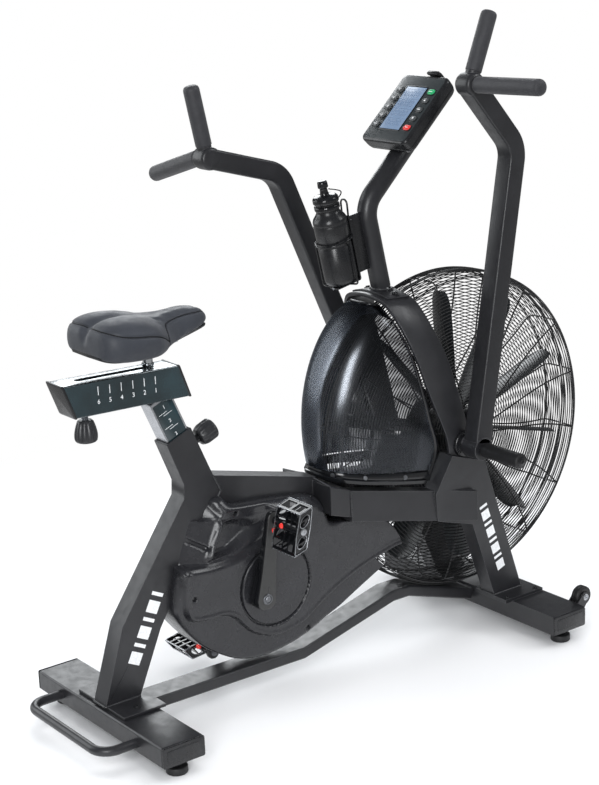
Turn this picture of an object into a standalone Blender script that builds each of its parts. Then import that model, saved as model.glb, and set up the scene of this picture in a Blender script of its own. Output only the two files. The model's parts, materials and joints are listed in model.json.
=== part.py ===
"""Air bike built as separate solids. Metres, +Z up, +Y toward the fan (front), +X to the
rider's right. Coordinates are written with the rear stabiliser's rear face at Y = -0.500;
Y_SHIFT and Z_SHIFT move every piece to its final place, centred on Y = 0 and standing on
Z = 0."""
import math
import bpy
import bmesh
from mathutils import Vector

for ob in list(bpy.data.objects):
    bpy.data.objects.remove(ob, do_unlink=True)

# ---------------------------------------------------------------- shared dimensions
Y_SHIFT = -0.0690
Z_SHIFT = -0.0060
GAP = 0.0003              # air between touching pieces
CASE_GAP = 0.0006         # air between the chain case and the frame tubes
SIDES = (('right', 1), ('left', -1))

STAB_DEPTH = 0.091        # stabilisers, along Y
STAB_TOP = 0.0757
STAB_BOTTOM = 0.035
REAR_STAB_HALF = 0.2236   # half length along X
REAR_STAB_Y = -0.500      # rear face
FRONT_STAB_HALF = 0.2715
FRONT_STAB_Y = 0.430
PAD_TOP = 0.0822          # top of the pads on the stabilisers
TUBE_HALF = 0.022         # half width of the seat upright and top tube

FAN_CENTRE = (0, 0.395, 0.437)
PIVOT = (0, 0.325, 0.4425)
CRANK_CENTRE = (0, -0.158, 0.226)
WHEEL_X, WHEEL_Y, WHEEL_Z = 0.2400, 0.543, 0.085

# ---------------------------------------------------------------- materials
PALETTE = {  # red, green, blue, metallic, roughness
    'frame_black': (0.028, 0.029, 0.031, 0.55, 0.55),
    'plastic_black': (0.030, 0.031, 0.034, 0.0, 0.50),
    'smoked_clear': (0.05, 0.055, 0.06, 0.0, 0.06),
    'wire_black': (0.012, 0.012, 0.013, 0.4, 0.35),
    'chrome': (0.75, 0.76, 0.78, 1.0, 0.12),
    'steel': (0.45, 0.46, 0.48, 1.0, 0.30),
    'vinyl': (0.030, 0.031, 0.034, 0.0, 0.62),
    'foam': (0.045, 0.046, 0.050, 0.0, 0.90),
    'rubber': (0.020, 0.020, 0.021, 0.0, 0.80),
    'screen': (0.30, 0.36, 0.42, 0.0, 0.15),
    'key_grey': (0.10, 0.105, 0.115, 0.0, 0.45),
    'key_green': (0.03, 0.42, 0.16, 0.0, 0.45),
    'key_red': (0.55, 0.03, 0.03, 0.0, 0.45),
    'cast_grey': (0.16, 0.16, 0.165, 0.7, 0.45),
}


def new_material(name, red, green, blue, metallic, roughness):
    material = bpy.data.materials.new(name)
    material.use_nodes = True
    shader = material.node_tree.nodes.get('Principled BSDF')
    shader.inputs['Base Color'].default_value = (red, green, blue, 1.0)
    shader.inputs['Metallic'].default_value = metallic
    shader.inputs['Roughness'].default_value = roughness
    return material


MATERIALS = {name: new_material(name, *values) for name, values in PALETTE.items()}


# ---------------------------------------------------------------- mesh tools
# Pieces default to the frame's material. Solids named 'tool' are used up by boolean().
def smooth_by_angle(mesh):
    mesh.shade_smooth()
    mesh.set_sharp_from_angle(angle=math.radians(35))


def make(name, verts, faces, material='frame_black', origin=(0, 0, 0)):
    """Unshifted world-space vertices become an object whose origin is `origin`."""
    ox, oy, oz = origin
    mesh = bpy.data.meshes.new(name)
    mesh.from_pydata([(x - ox, y - oy, z - oz) for x, y, z in verts], [], faces)
    mesh.validate()
    bm = bmesh.new()
    bm.from_mesh(mesh)
    bmesh.ops.recalc_face_normals(bm, faces=bm.faces)
    if bm.calc_volume(signed=True) < 0:
        bmesh.ops.reverse_faces(bm, faces=bm.faces)
    bm.to_mesh(mesh)
    bm.free()
    smooth_by_angle(mesh)
    obj = bpy.data.objects.new(name, mesh)
    obj.location = (ox, oy + Y_SHIFT, oz + Z_SHIFT)
    bpy.context.collection.objects.link(obj)
    mesh.materials.append(MATERIALS[material])
    return obj


def boolean(obj, tools, operation='UNION'):
    """Apply every modifier on obj, then exact booleans, and delete the tools."""
    for tool in tools:
        modifier = obj.modifiers.new('boolean', 'BOOLEAN')
        modifier.solver = 'EXACT'
        modifier.operation = operation
        modifier.object = tool
    bpy.context.view_layer.update()
    depsgraph = bpy.context.evaluated_depsgraph_get()
    mesh = bpy.data.meshes.new_from_object(obj.evaluated_get(depsgraph))
    obj.modifiers.clear()
    bm = bmesh.new()
    bm.from_mesh(mesh)
    bmesh.ops.remove_doubles(bm, verts=bm.verts, dist=0.00002)
    bmesh.ops.dissolve_limit(bm, angle_limit=0.002, verts=bm.verts, edges=bm.edges)
    bmesh.ops.recalc_face_normals(bm, faces=bm.faces)
    bm.to_mesh(mesh)
    bm.free()
    old_mesh = obj.data
    name, material = old_mesh.name, old_mesh.materials[0]
    obj.data = mesh
    bpy.data.meshes.remove(old_mesh)
    mesh.name = name
    mesh.materials.clear()
    mesh.materials.append(material)
    smooth_by_angle(mesh)
    for tool in tools:
        bpy.data.objects.remove(tool, do_unlink=True)


def bevel(obj, width):
    modifier = obj.modifiers.new('edge', 'BEVEL')
    modifier.width = width
    modifier.segments = 1
    modifier.limit_method = 'ANGLE'
    modifier.angle_limit = math.radians(30)
    modifier.use_clamp_overlap = True


def loft(name, rings, material='frame_black', origin=(0, 0, 0), closed=False):
    """Rings of equal point count joined in order; ends capped unless closed."""
    count = len(rings[0])
    total = len(rings)
    faces = []
    for i in range(total if closed else total - 1):
        a, b = i * count, ((i + 1) % total) * count
        for k in range(count):
            after = (k + 1) % count
            faces.append((a + k, a + after, b + after, b + k))
    if not closed:
        faces.append(tuple(range(count - 1, -1, -1)))
        faces.append(tuple((total - 1) * count + k for k in range(count)))
    return make(name, [point for ring in rings for point in ring], faces, material, origin)


def extrude(name, outline, place, start, end, material='frame_black', origin=(0, 0, 0)):
    """A 2-D outline swept from start to end; place(a, b, depth) gives the 3-D point."""
    rings = [[place(a, b, depth) for a, b in outline] for depth in (start, end)]
    return loft(name, rings, material, origin)


def prism(name, outline, x0, x1, material='frame_black', origin=(0, 0, 0)):
    """Outline in (y, z) extruded along X."""
    return extrude(name, outline, lambda y, z, x: (x, y, z), x0, x1, material, origin)


def rectangle(a0, a1, b0, b1):
    return [(a0, b0), (a1, b0), (a1, b1), (a0, b1)]


def box(name, x0, x1, y0, y1, z0, z1, material='frame_black', origin=(0, 0, 0)):
    return prism(name, rectangle(y0, y1, z0, z1), x0, x1, material, origin)


def lathe(name, centre, axis, profile, material='frame_black', segments=24,
          origin=(0, 0, 0), closed=False):
    """profile: (distance along axis, radius). closed=True joins it into a ring section."""
    centre = Vector(centre)
    axis = Vector(axis).normalized()
    guide = Vector((1, 0, 0)) if abs(axis.x) < 0.9 else Vector((0, 1, 0))
    across = axis.cross(guide).normalized()
    second = axis.cross(across).normalized()
    angles = [2 * math.pi * k / segments for k in range(segments)]
    rings = [[centre + axis * h + (across * math.cos(t) + second * math.sin(t)) * radius
              for t in angles] for h, radius in profile]
    return loft(name, rings, material, origin, closed)


def rod(centre, half, radius, segments):
    """A plain cylinder tool along X."""
    return lathe('tool', centre, (1, 0, 0), [(-half, radius), (half, radius)],
                 segments=segments)


def fillet(points, radius, steps):
    """Round the inner corners of a 3-D polyline."""
    points = [Vector(p) for p in points]
    path = [points[0]]
    for before, corner, after in zip(points, points[1:], points[2:]):
        back, ahead = (before - corner).normalized(), (after - corner).normalized()
        angle = back.angle(ahead)
        setback = min(radius / math.tan(angle / 2), (before - corner).length * 0.49,
                      (after - corner).length * 0.49)
        fitted = setback * math.tan(angle / 2)
        centre = corner + (back + ahead).normalized() * (fitted / math.sin(angle / 2))
        start, end = corner + back * setback, corner + ahead * setback
        for k in range(steps + 1):
            spoke = (start - centre).lerp(end - centre, k / steps)
            path.append(centre + spoke.normalized() * fitted)
    path.append(points[-1])
    return path


def sweep(name, path, section, material='frame_black', origin=(0, 0, 0), ref=(1, 0, 0)):
    """Sweep a section [(a along ref, b across)] down a polyline with mitred joints."""
    path = [Vector(p) for p in path]
    ref = Vector(ref)
    last = len(path) - 1
    rings = []
    for i, point in enumerate(path):
        arriving = (point - path[i - 1]).normalized() if i else (path[1] - point).normalized()
        leaving = (path[i + 1] - point).normalized() if i < last else arriving
        stretch = 1.0
        tangent = arriving
        if 0 < i < last:
            tangent = (arriving + leaving).normalized()
            stretch = 1.0 / max(0.3, tangent.dot(arriving))
        side = tangent.cross(ref).normalized()
        along = side.cross(tangent).normalized()
        rings.append([point + along * a + side * (b * stretch) for a, b in section])
    return loft(name, rings, material, origin)


def rounded_rectangle(width, height, radius, steps):
    """Rounded rectangle centred on 0."""
    a, b = width / 2 - radius, height / 2 - radius
    outline = []
    for ca, cb, start in ((a, b, 0), (-a, b, 90), (-a, -b, 180), (a, -b, 270)):
        for k in range(steps + 1):
            angle = math.radians(start + 90 * k / steps)
            outline.append((ca + radius * math.cos(angle), cb + radius * math.sin(angle)))
    return outline


def circle(radius, segments):
    angles = [2 * math.pi * k / segments for k in range(segments)]
    return [(radius * math.cos(t), radius * math.sin(t)) for t in angles]


# ---------------------------------------------------------------- seat post frame
POST_AXIS = Vector((0, -0.393, 0.9195))       # up the post
POST_NORMAL = Vector((0, 0.9195, 0.393))      # out of its front face
POST_CENTRE = Vector((0, -0.2965, 0.5705))
POST_HALF_WIDTH = 0.0180
POST_HALF_DEPTH = 0.0250


def post_bar(name, margin, start, end, material='frame_black'):
    """Bar on the post's axis, `margin` larger than the post on each side."""
    half_width, half_depth = POST_HALF_WIDTH + margin, POST_HALF_DEPTH + margin
    return extrude(name, rectangle(-half_width, half_width, -half_depth, half_depth),
                   lambda x, n, s: POST_CENTRE + POST_AXIS * s + POST_NORMAL * n
                   + Vector((x, 0, 0)), start, end, material)


# ---------------------------------------------------------------- base frame
HANDLE_HALF = 0.138
HANDLE_Y = -0.577         # crossbar of the rear handle
HANDLE_Z = 0.0555

UPRIGHT = [  # (y, z)
    (-0.493, 0.0800), (-0.417, 0.0800), (-0.362, 0.205), (-0.210, 0.444), (-0.269, 0.582),
    (-0.324, 0.559), (-0.291, 0.474), (-0.293, 0.446), (-0.445, 0.230)]
YOKE = [(0.010, 0.3525), (0.060, 0.3365), (0.060, 0.3945), (0.010, 0.4125)]   # (y, z)
FORK_LEG = [  # (y, z)
    (0.286, 0.426), (0.376, 0.395), (0.493, PAD_TOP + 0.0006), (0.415, PAD_TOP + 0.0006),
    (0.346, 0.262), (0.250, 0.292), (0.243, 0.352)]
RAIL_HALF = 0.016
RAIL_HEIGHT = 0.064
BEAM = [  # (y, z) along the centre line
    (-0.4087, 0.058), (-0.030, 0.0545), (0.205, 0.1125), (0.250, 0.1125), (0.4258, 0.0565)]
WHEEL_TAB = [  # (y, z)
    (0.5195, 0.050), (0.530, 0.050), (0.552, 0.080), (0.548, 0.094), (0.538, 0.096),
    (0.5195, 0.0755)]
WHEEL_TAB_T = 0.0025


def build_rear_stabiliser():
    stabiliser = box('rear_stabiliser', -REAR_STAB_HALF, REAR_STAB_HALF, REAR_STAB_Y,
                     REAR_STAB_Y + STAB_DEPTH, STAB_BOTTOM, STAB_TOP)
    bevel(stabiliser, 0.003)
    root_y = REAR_STAB_Y - GAP
    corners = [(-HANDLE_HALF, root_y, HANDLE_Z), (-HANDLE_HALF, HANDLE_Y, HANDLE_Z),
               (HANDLE_HALF, HANDLE_Y, HANDLE_Z), (HANDLE_HALF, root_y, HANDLE_Z)]
    sweep('rear_handle', fillet(corners, 0.030, 4), circle(0.0075, 10), ref=(0, 0, 1))


def build_seat_upright():
    """Upright with a foot pad and a pocket for the seat post."""
    upright = prism('seat_upright', UPRIGHT, -TUBE_HALF, TUBE_HALF)
    boolean(upright, [box('tool', -0.083, 0.083, -0.490, -0.398, STAB_TOP + GAP, PAD_TOP)])
    boolean(upright, [post_bar('tool', GAP, -0.1400, 0.05)], 'DIFFERENCE')


def top_tube_z(y):
    """Height of the top tube's upper face."""
    return 0.477 - 0.244 * (y + 0.223)


def build_top_tube():
    """Sloping tube with the wide yoke on its front end."""
    outline = [(-0.2242, top_tube_z(-0.2242)), (-0.2096, 0.4440), (-0.2286, 0.4145),
               (0.020, top_tube_z(0.020) - 0.060), (0.020, top_tube_z(0.020))]
    tube = prism('top_tube', outline, -TUBE_HALF, TUBE_HALF)
    boolean(tube, [prism('tool', YOKE, -0.0795, 0.0795)])


def fork_rail(name, sign, y_span, inward, outward, below, above):
    """Flaring, falling bar; the last four are its faces' offsets from the rail's line."""
    rings = []
    for y in y_span:
        x = 0.064 + (y - 0.060) * 0.205
        top = 0.3925 - 0.185 * (y - 0.060)
        section = rectangle(x - inward, x + outward, top - below, top + above)
        rings.append([(sign * a, y, z) for a, z in section])
    return loft(name, rings)


def build_fork(side, sign):
    rail = fork_rail('fork_' + side, sign, (0.0605, 0.345), RAIL_HALF, RAIL_HALF,
                     RAIL_HEIGHT, 0)
    # The leg leans outward with height.
    leg = extrude('tool', FORK_LEG, lambda y, z, x: (x - sign * 0.055 * (0.42 - z), y, z),
                  sign * 0.0900, sign * 0.1290)
    boolean(rail, [leg])


def build_front_stabiliser():
    """Stabiliser with fork pads, wheel tabs and wheel pins."""
    stabiliser = box('front_stabiliser', -FRONT_STAB_HALF, FRONT_STAB_HALF, FRONT_STAB_Y,
                     FRONT_STAB_Y + STAB_DEPTH, STAB_BOTTOM, STAB_TOP)
    tools = []
    for _, sign in SIDES:
        tools.append(box('tool', sign * 0.055, sign * 0.149, 0.412, 0.5195,
                         STAB_TOP - 0.001, PAD_TOP))
        for x in (0.2265, 0.2515):
            tools.append(prism('tool', WHEEL_TAB, sign * x, sign * (x + WHEEL_TAB_T)))
        tools.append(rod((sign * WHEEL_X, WHEEL_Y, WHEEL_Z), 0.0125, 0.0035, 8))
    boolean(stabiliser, tools)


def build_centre_beam():
    sweep('centre_beam', [(0, y, z) for y, z in BEAM],
          rounded_rectangle(0.0572, 0.024, 0.003, 1))


# ---------------------------------------------------------------- arch and mast
ARCH = [  # x, rear (y, z), front (y, z) of the outer surface; right foot to crown
    (0.1180, (0.2880, 0.4268), (0.3350, 0.4106)),
    (0.1180, (0.2790, 0.4700), (0.3380, 0.4700)),
    (0.1150, (0.2430, 0.5560), (0.3150, 0.5580)),
    (0.1085, (0.2180, 0.6300), (0.2930, 0.6300)),
    (0.0970, (0.1960, 0.6880), (0.2710, 0.6850)),
    (0.0790, (0.1820, 0.7290), (0.2580, 0.7240)),
    (0.0580, (0.1740, 0.7520), (0.2520, 0.7470)),
    (0.0200, (0.1700, 0.7620), (0.2500, 0.7570)),
]
ARCH_T = 0.008
MAST_PATH = fillet([(0, 0.2155, 0.7668), (0, 0.1800, 0.9360), (0, 0.3250, 1.0790)], 0.050, 4)
MAST_FOOT = [(0.196, 0.7625), (0.262, 0.7578), (0.262, 0.7645), (0.196, 0.7692)]   # (y, z)


def build_arch():
    stations = ARCH + [(-x, rear, front) for x, rear, front in reversed(ARCH)]
    last = len(stations) - 1
    rings = []
    for i, (x, rear, front) in enumerate(stations):
        before, after = stations[max(0, i - 1)], stations[min(last, i + 1)]
        run = after[0] - before[0]
        rise = (after[1][1] + after[2][1]) / 2 - (before[1][1] + before[2][1]) / 2
        length = math.hypot(run, rise)
        out_x, out_z = rise / length, -run / length
        if out_x * x + out_z * 0.3 < 0:
            out_x, out_z = -out_x, -out_z
        if i in (0, last):
            out_x, out_z = math.copysign(1, x), 0.0
        inner_x, drop = x - out_x * ARCH_T, out_z * ARCH_T
        rings.append([(x, *rear), (x, *front), (inner_x, front[0], front[1] - drop),
                      (inner_x, rear[0], rear[1] - drop)])
    loft('arch', rings)


def build_mast():
    """Bent round mast with a foot plate, cut flat behind the console."""
    mast = sweep('console_mast', MAST_PATH, circle(0.0200, 14))
    boolean(mast, [prism('tool', MAST_FOOT, -0.030, 0.030)])
    cutter = extrude('tool', rectangle(-0.07, 0.07, -0.02, 0.20), console_point,
                     -0.0415, 0.06)
    boolean(mast, [cutter], 'DIFFERENCE')


# ---------------------------------------------------------------- shield and trim
SHIELD_ROWS = [  # rear z, rear y, front z, front y, half width; bottom to top
    (0.4150, 0.036, 0.3750, 0.2500, 0.0980),
    (0.4600, 0.028, 0.4400, 0.2700, 0.1020),
    (0.5100, 0.027, 0.5000, 0.2540, 0.1040),
    (0.5650, 0.034, 0.5600, 0.2380, 0.1030),
    (0.6200, 0.051, 0.6200, 0.2220, 0.0980),
    (0.6700, 0.078, 0.6700, 0.2050, 0.0890),
    (0.7100, 0.110, 0.7080, 0.1900, 0.0740),
    (0.7380, 0.142, 0.7340, 0.1770, 0.0520),
]
SHIELD_POWER = 2.6        # squareness of the plan curve; 2 is an ellipse
SHIELD_T = 0.0025
TRIM_T = 0.0045
SHIELD_U = 0.955          # the shield spans u = -SHIELD_U to SHIELD_U
SHIELD_V = (0.045, 0.965)
U_STEPS, V_STEPS = 16, 8


def shield_point(u, v, inset):
    """u: -1 left front edge, 0 rear, 1 right front edge; v: 0 bottom to 1 top."""
    position = v * (len(SHIELD_ROWS) - 1)
    i = min(int(position), len(SHIELD_ROWS) - 2)
    k = position - i
    rear_z, rear_y, front_z, front_y, half = [
        low * (1 - k) + high * k for low, high in zip(SHIELD_ROWS[i], SHIELD_ROWS[i + 1])]
    angle = (1 - abs(u)) * math.pi / 2
    outward = math.cos(angle) ** (2 / SHIELD_POWER)
    rearward = math.sin(angle) ** (2 / SHIELD_POWER)
    x = math.copysign((half - inset) * outward, u)
    y = front_y - (front_y - rear_y - inset) * rearward
    z = front_z + (rear_z - front_z) * rearward - (inset * 0.7 if v > 0.85 else 0)
    return (x, y, z)


def build_shield():
    """Curved sheet: an outer and an inner grid of points joined round the border."""
    low, high = SHIELD_V
    verts = [shield_point(-SHIELD_U + 2 * SHIELD_U * i / U_STEPS,
                          low + (high - low) * j / V_STEPS, inset)
             for inset in (0.0, SHIELD_T)
             for j in range(V_STEPS + 1) for i in range(U_STEPS + 1)]
    row = U_STEPS + 1
    inner = row * (V_STEPS + 1)
    faces = []
    for j in range(V_STEPS):
        for i in range(U_STEPS):
            a = j * row + i
            b = inner + a
            faces.append((a, a + 1, a + row + 1, a + row))
            faces.append((b, b + row, b + row + 1, b + 1))
    for i in range(U_STEPS):
        faces.append((i, inner + i, inner + i + 1, i + 1))
        a = V_STEPS * row + i
        faces.append((a, a + 1, inner + a + 1, inner + a))
    for j in range(V_STEPS):
        a = j * row
        faces.append((a, a + row, inner + a + row, inner + a))
        a = j * row + U_STEPS
        faces.append((a, inner + a, inner + a + row, a + row))
    make('shield', verts, faces, 'smoked_clear')


def shield_border(edge, low, high):
    """(u, v) points round a border: bottom, right, top, left."""
    across = [-1 + 2 * k / U_STEPS for k in range(U_STEPS)]
    upward = [(high - low) * k / V_STEPS for k in range(V_STEPS)]
    return ([(t * edge, low) for t in across] + [(edge, low + t) for t in upward]
            + [(-t * edge, high) for t in across] + [(-edge, high - t) for t in upward])


def build_shield_trim():
    """Closed frame round the shield's border."""
    outer = shield_border(1.0, 0.0, 1.0)
    inner = shield_border(SHIELD_U + 0.004, SHIELD_V[0] - 0.006, SHIELD_V[1] + 0.006)
    rings = [[shield_point(*a, 0.0), shield_point(*b, 0.0),
              shield_point(*b, TRIM_T), shield_point(*a, TRIM_T)]
             for a, b in zip(outer, inner)]
    loft('shield_trim', rings, 'plastic_black', closed=True)


# ---------------------------------------------------------------- chain case halves
CASE = [  # (y, z), clockwise seen with +Y to the right
    (-0.292, 0.409), (-0.252, 0.424), (-0.213, 0.432), (-0.185, 0.420), (-0.095, 0.404),
    (0.000, 0.3850), (0.030, 0.3300), (0.090, 0.3050), (0.159, 0.2860), (0.197, 0.2580),
    (0.212, 0.223), (0.200, 0.2050), (0.158, 0.190), (0.071, 0.149), (0.020, 0.123),
    (-0.035, 0.1000), (-0.090, 0.0880), (-0.142, 0.0850), (-0.190, 0.0930), (-0.232, 0.113),
    (-0.285, 0.1520), (-0.335, 0.217), (-0.338, 0.2600), (-0.325, 0.3200)]
CASE_X = 0.056            # outer face of each half
CASE_T = 0.003
UPRIGHT_CUT = [  # (y, z)
    (-0.520, 0.06), (-0.4166, 0.0797), (-0.3614, 0.2047), (-0.2092, 0.4443),
    (-0.2400, 0.5200), (-0.400, 0.5200)]
TOP_TUBE_CUT = [  # (y, z)
    (-0.260, top_tube_z(-0.26) + 0.03), (-0.260, 0.4100), (-0.2290, 0.4138),
    (0.009, 0.3518), (0.070, 0.3300), (0.070, 0.45)]
YOKE_CUT = [(0.0092, 0.3518), (0.0700, 0.3323), (0.0700, 0.42), (0.0092, 0.4300)]  # (y, z)
GUARD_CUT = [  # half width along X, radius; hub to rim
    (0.0615, 0.0500), (0.0590, 0.1420), (0.0535, 0.2420), (0.0462, 0.3250), (0.0365, 0.3350)]


def inset_outline(outline, distance):
    """Mitred inward offset of a clockwise outline."""
    points = [Vector(p) for p in outline]
    result = []
    for i, corner in enumerate(points):
        arriving = (corner - points[i - 1]).normalized()
        leaving = (points[(i + 1) % len(points)] - corner).normalized()
        normal = Vector((arriving.y, -arriving.x))
        mitre = (normal + Vector((leaving.y, -leaving.x))).normalized()
        result.append(tuple(corner + mitre * (distance / max(0.5, mitre.dot(normal)))))
    return result


def build_chain_case(side, sign):
    """Hollow half shell, open at the split plane, cut clear of its neighbours."""
    inner_wall = inset_outline(CASE, CASE_T)
    stations = [  # x, outline: inner face to split plane, then back along the outside
        (CASE_X - CASE_T, inset_outline(CASE, 0.014)),
        (CASE_X - 0.012, inner_wall),
        (GAP, inner_wall),
        (GAP, CASE),
        (CASE_X - 0.010, CASE),
        (CASE_X, inset_outline(CASE, 0.012)),
    ]
    case = loft('chain_case_' + side,
                [[(sign * x, y, z) for y, z in outline] for x, outline in stations],
                'plastic_black')
    tube_cut = TUBE_HALF + CASE_GAP
    guard_profile = [(-x, r) for x, r in GUARD_CUT] + [(x, r) for x, r in reversed(GUARD_CUT)]
    cutters = [
        prism('tool', UPRIGHT_CUT, -tube_cut, tube_cut),
        prism('tool', TOP_TUBE_CUT, -tube_cut, tube_cut),
        prism('tool', YOKE_CUT, -0.0800, 0.0800),
        lathe('tool', FAN_CENTRE, (1, 0, 0), guard_profile, segments=40),
        rod((sign * 0.03, *CRANK_CENTRE[1:]), 0.05, 0.0140, 16),
    ]
    boolean(case, cutters, 'DIFFERENCE')
    rail_cut = fork_rail('tool', sign, (0.050, 0.26), RAIL_HALF + CASE_GAP, 0.03,
                         RAIL_HEIGHT + CASE_GAP, 0.03)
    boolean(case, [rail_cut], 'DIFFERENCE')


# ---------------------------------------------------------------- fan and its guard
GUARD_R = 0.333
GUARD_T = 0.0025
GUARD_RIM_X = 0.0445
GUARD_HUB_X = 0.0600
GUARD_PROFILE = [  # x, radius: outer skin from rim to hub, inner skin back to the rim
    (GAP, GUARD_R), (0.0350, GUARD_R), (GUARD_RIM_X, GUARD_R - 0.010), (0.0520, 0.240),
    (0.0575, 0.140), (GUARD_HUB_X, 0.048),
    (GUARD_HUB_X - GUARD_T, 0.048), (0.0550, 0.140), (0.0495, 0.239),
    (GUARD_RIM_X - GUARD_T, GUARD_R - 0.0120), (0.0340, GUARD_R - GUARD_T),
    (GAP, GUARD_R - GUARD_T)]
HUB_PROFILE = [  # x, radius
    (-0.033, 0.0090), (-0.033, 0.030), (-0.026, 0.050), (0.026, 0.050), (0.033, 0.030),
    (0.033, 0.0090)]
BLADE_COUNT = 10
BLADE_PHASE = -14.0       # degrees from +Y to the first blade
BLADE_TWIST = math.radians(24)
BLADE_HALF_T = 0.0016
BLADE = [(0.040, 0.022), (0.275, 0.031), (0.298, 0.022)]     # radius, half width
AXLE_HALF = 0.0948
AXLE_R = 0.0082
PLATE_R = 0.046


def build_fan_guard(side, sign):
    lathe('fan_guard_' + side, FAN_CENTRE, (sign, 0, 0), GUARD_PROFILE, 'wire_black', 40,
          closed=True)


def build_fan():
    wheel = lathe('fan_wheel', FAN_CENTRE, (1, 0, 0), HUB_PROFILE, 'plastic_black',
                  origin=FAN_CENTRE, closed=True)
    x_axis = Vector((1, 0, 0))
    blades = []
    for k in range(BLADE_COUNT):
        angle = math.radians(BLADE_PHASE + 360 * k / BLADE_COUNT)
        radial = Vector((0, math.cos(angle), math.sin(angle)))
        tangent = Vector((0, -math.sin(angle), math.cos(angle)))
        across = x_axis * math.cos(BLADE_TWIST) + tangent * math.sin(BLADE_TWIST)
        normal = tangent * math.cos(BLADE_TWIST) - x_axis * math.sin(BLADE_TWIST)
        rings = [[Vector(FAN_CENTRE) + radial * radius + across * a + normal * b
                  for a, b in rectangle(-half, half, -BLADE_HALF_T, BLADE_HALF_T)]
                 for radius, half in BLADE]
        blades.append(loft('tool', rings))
    boolean(wheel, blades)
    lathe('fan_axle', FAN_CENTRE, (1, 0, 0), [(-AXLE_HALF, AXLE_R), (AXLE_HALF, AXLE_R)],
          'steel', 16, origin=FAN_CENTRE)


def build_axle_plate(side, sign):
    """Plate between guard and fork, round at the top, bored for the fan axle."""
    _, fan_y, fan_z = FAN_CENTRE
    outline = []
    for k in range(13):
        angle = math.radians(-75 + 17.5 * k)
        outline.append((fan_y + PLATE_R * math.cos(angle), fan_z + PLATE_R * math.sin(angle)))
    outline += [(0.318, 0.405), (0.325, 0.350), (0.375, 0.335)]
    plate = prism('axle_plate_' + side, outline, sign * 0.0798, sign * 0.0848)
    bore = rod((sign * 0.082, fan_y, fan_z), 0.02, AXLE_R + GAP, 16)
    boolean(plate, [bore], 'DIFFERENCE')


# ---------------------------------------------------------------- pivots, arms and grips
PIVOT_PROFILE = [  # distance outward, radius
    (0.0, 0.0270), (0.0080, 0.0270), (0.0090, 0.0190), (0.0175, 0.0190), (0.0176, 0.0110),
    (0.0655, 0.0110), (0.0656, 0.0155), (0.165, 0.0155), (0.170, 0.0135), (0.170, 0.0055),
    (0.1725, 0.0055)]
ARM_X = 0.158
ARM_WIDTH = 0.042
ARM_DEPTH = 0.040
ARM_LOWER = 0.606         # length from pivot to bend
ARM_UPPER = 0.172         # length from bend to knuckle
ARM_BEND = 50.6           # degrees, toward the rider
ARM_HUB_HALF = 0.0210
ARM_POSE = {'right': (10.0, 0.03), 'left': (-23.4, -0.29)}   # tilt in degrees, side grip rise
GRIP_TURN = 12.0          # degrees from the lower arm's line to the upper grip's
GRIP_R = 0.0160
KNUCKLE_PROFILE = [  # x, radius
    (-ARM_HUB_HALF, 0.016), (-0.017, 0.0225), (0.017, 0.0225), (ARM_HUB_HALF, 0.016)]
UPPER_GRIP = [  # distance from the knuckle's centre, radius
    (0.0245, 0.0135), (0.0265, GRIP_R), (0.134, GRIP_R), (0.141, 0.0140), (0.1445, 0.0080)]
SIDE_GRIP = [  # distance from the grip's root, radius
    (0.0, 0.0135), (0.002, GRIP_R), (0.164, GRIP_R), (0.1705, 0.0140), (0.1735, 0.0080)]


def build_pivot(side, sign):
    """Stepped pin from the fork that carries the arm and a foot peg."""
    lathe('pivot_' + side, (sign * 0.1183, *PIVOT[1:]), (sign, 0, 0), PIVOT_PROFILE,
          segments=20, origin=PIVOT)


def tilted(degrees):
    """Unit vector leaning from +Z toward +Y."""
    angle = math.radians(degrees)
    return Vector((0, math.sin(angle), math.cos(angle)))


def build_arm(side, sign):
    tilt, rise = ARM_POSE[side]
    base = Vector((sign * ARM_X, *PIVOT[1:]))
    bend = base + tilted(tilt) * ARM_LOWER
    knuckle = bend + tilted(tilt - ARM_BEND) * ARM_UPPER
    path = fillet([base + tilted(tilt) * 0.012, bend, knuckle], 0.055, 5)
    arm = sweep('arm_' + side, path, rounded_rectangle(ARM_WIDTH, ARM_DEPTH, 0.004, 1),
                origin=PIVOT)
    boolean(arm, [rod(base, ARM_HUB_HALF, 0.0230, 20),
                  lathe('tool', knuckle, (1, 0, 0), KNUCKLE_PROFILE, segments=16)])
    boolean(arm, [rod(base, 0.05, 0.0116, 20)], 'DIFFERENCE')
    lathe('upper_grip_' + side, knuckle, tilted(tilt + GRIP_TURN), UPPER_GRIP, 'foam', 16,
          origin=PIVOT)
    outward = Vector((sign, 0, rise)).normalized()
    # A steeper grip starts farther out so that its end face clears the knuckle.
    root = (knuckle + Vector((sign * (ARM_HUB_HALF + 0.0005), 0, 0))
            + outward * (GAP + abs(rise) * 0.0175))
    lathe('side_grip_' + side, root, outward, SIDE_GRIP, 'foam', 16, origin=PIVOT)


# ---------------------------------------------------------------- cranks and pedals
CRANK_LENGTH = 0.160
CRANK_ANGLE = math.radians(7.5)
CRANK_AXLE = [  # x, radius; the wide step is a disc inside the chain case
    (-0.0570, 0.0100), (0.0185, 0.0100), (0.0188, 0.0640), (0.0300, 0.0640),
    (0.0303, 0.0100), (0.0570, 0.0100)]
CRANK_STATIONS = [  # distance from the axle, half width, inner x, outer x
    (-0.0215, 0.0100, 0.0600, 0.0860), (-0.0150, 0.0180, 0.0575, 0.0870),
    (0.0, 0.0215, 0.0575, 0.0875), (0.020, 0.0200, 0.0580, 0.0878),
    (0.060, 0.0165, 0.0620, 0.0885), (0.110, 0.0150, 0.0720, 0.0895),
    (CRANK_LENGTH, 0.0140, 0.0775, 0.0910),
    (CRANK_LENGTH + 0.010, 0.0110, 0.0780, 0.0908),
    (CRANK_LENGTH + 0.0145, 0.0060, 0.0785, 0.0905)]
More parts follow.
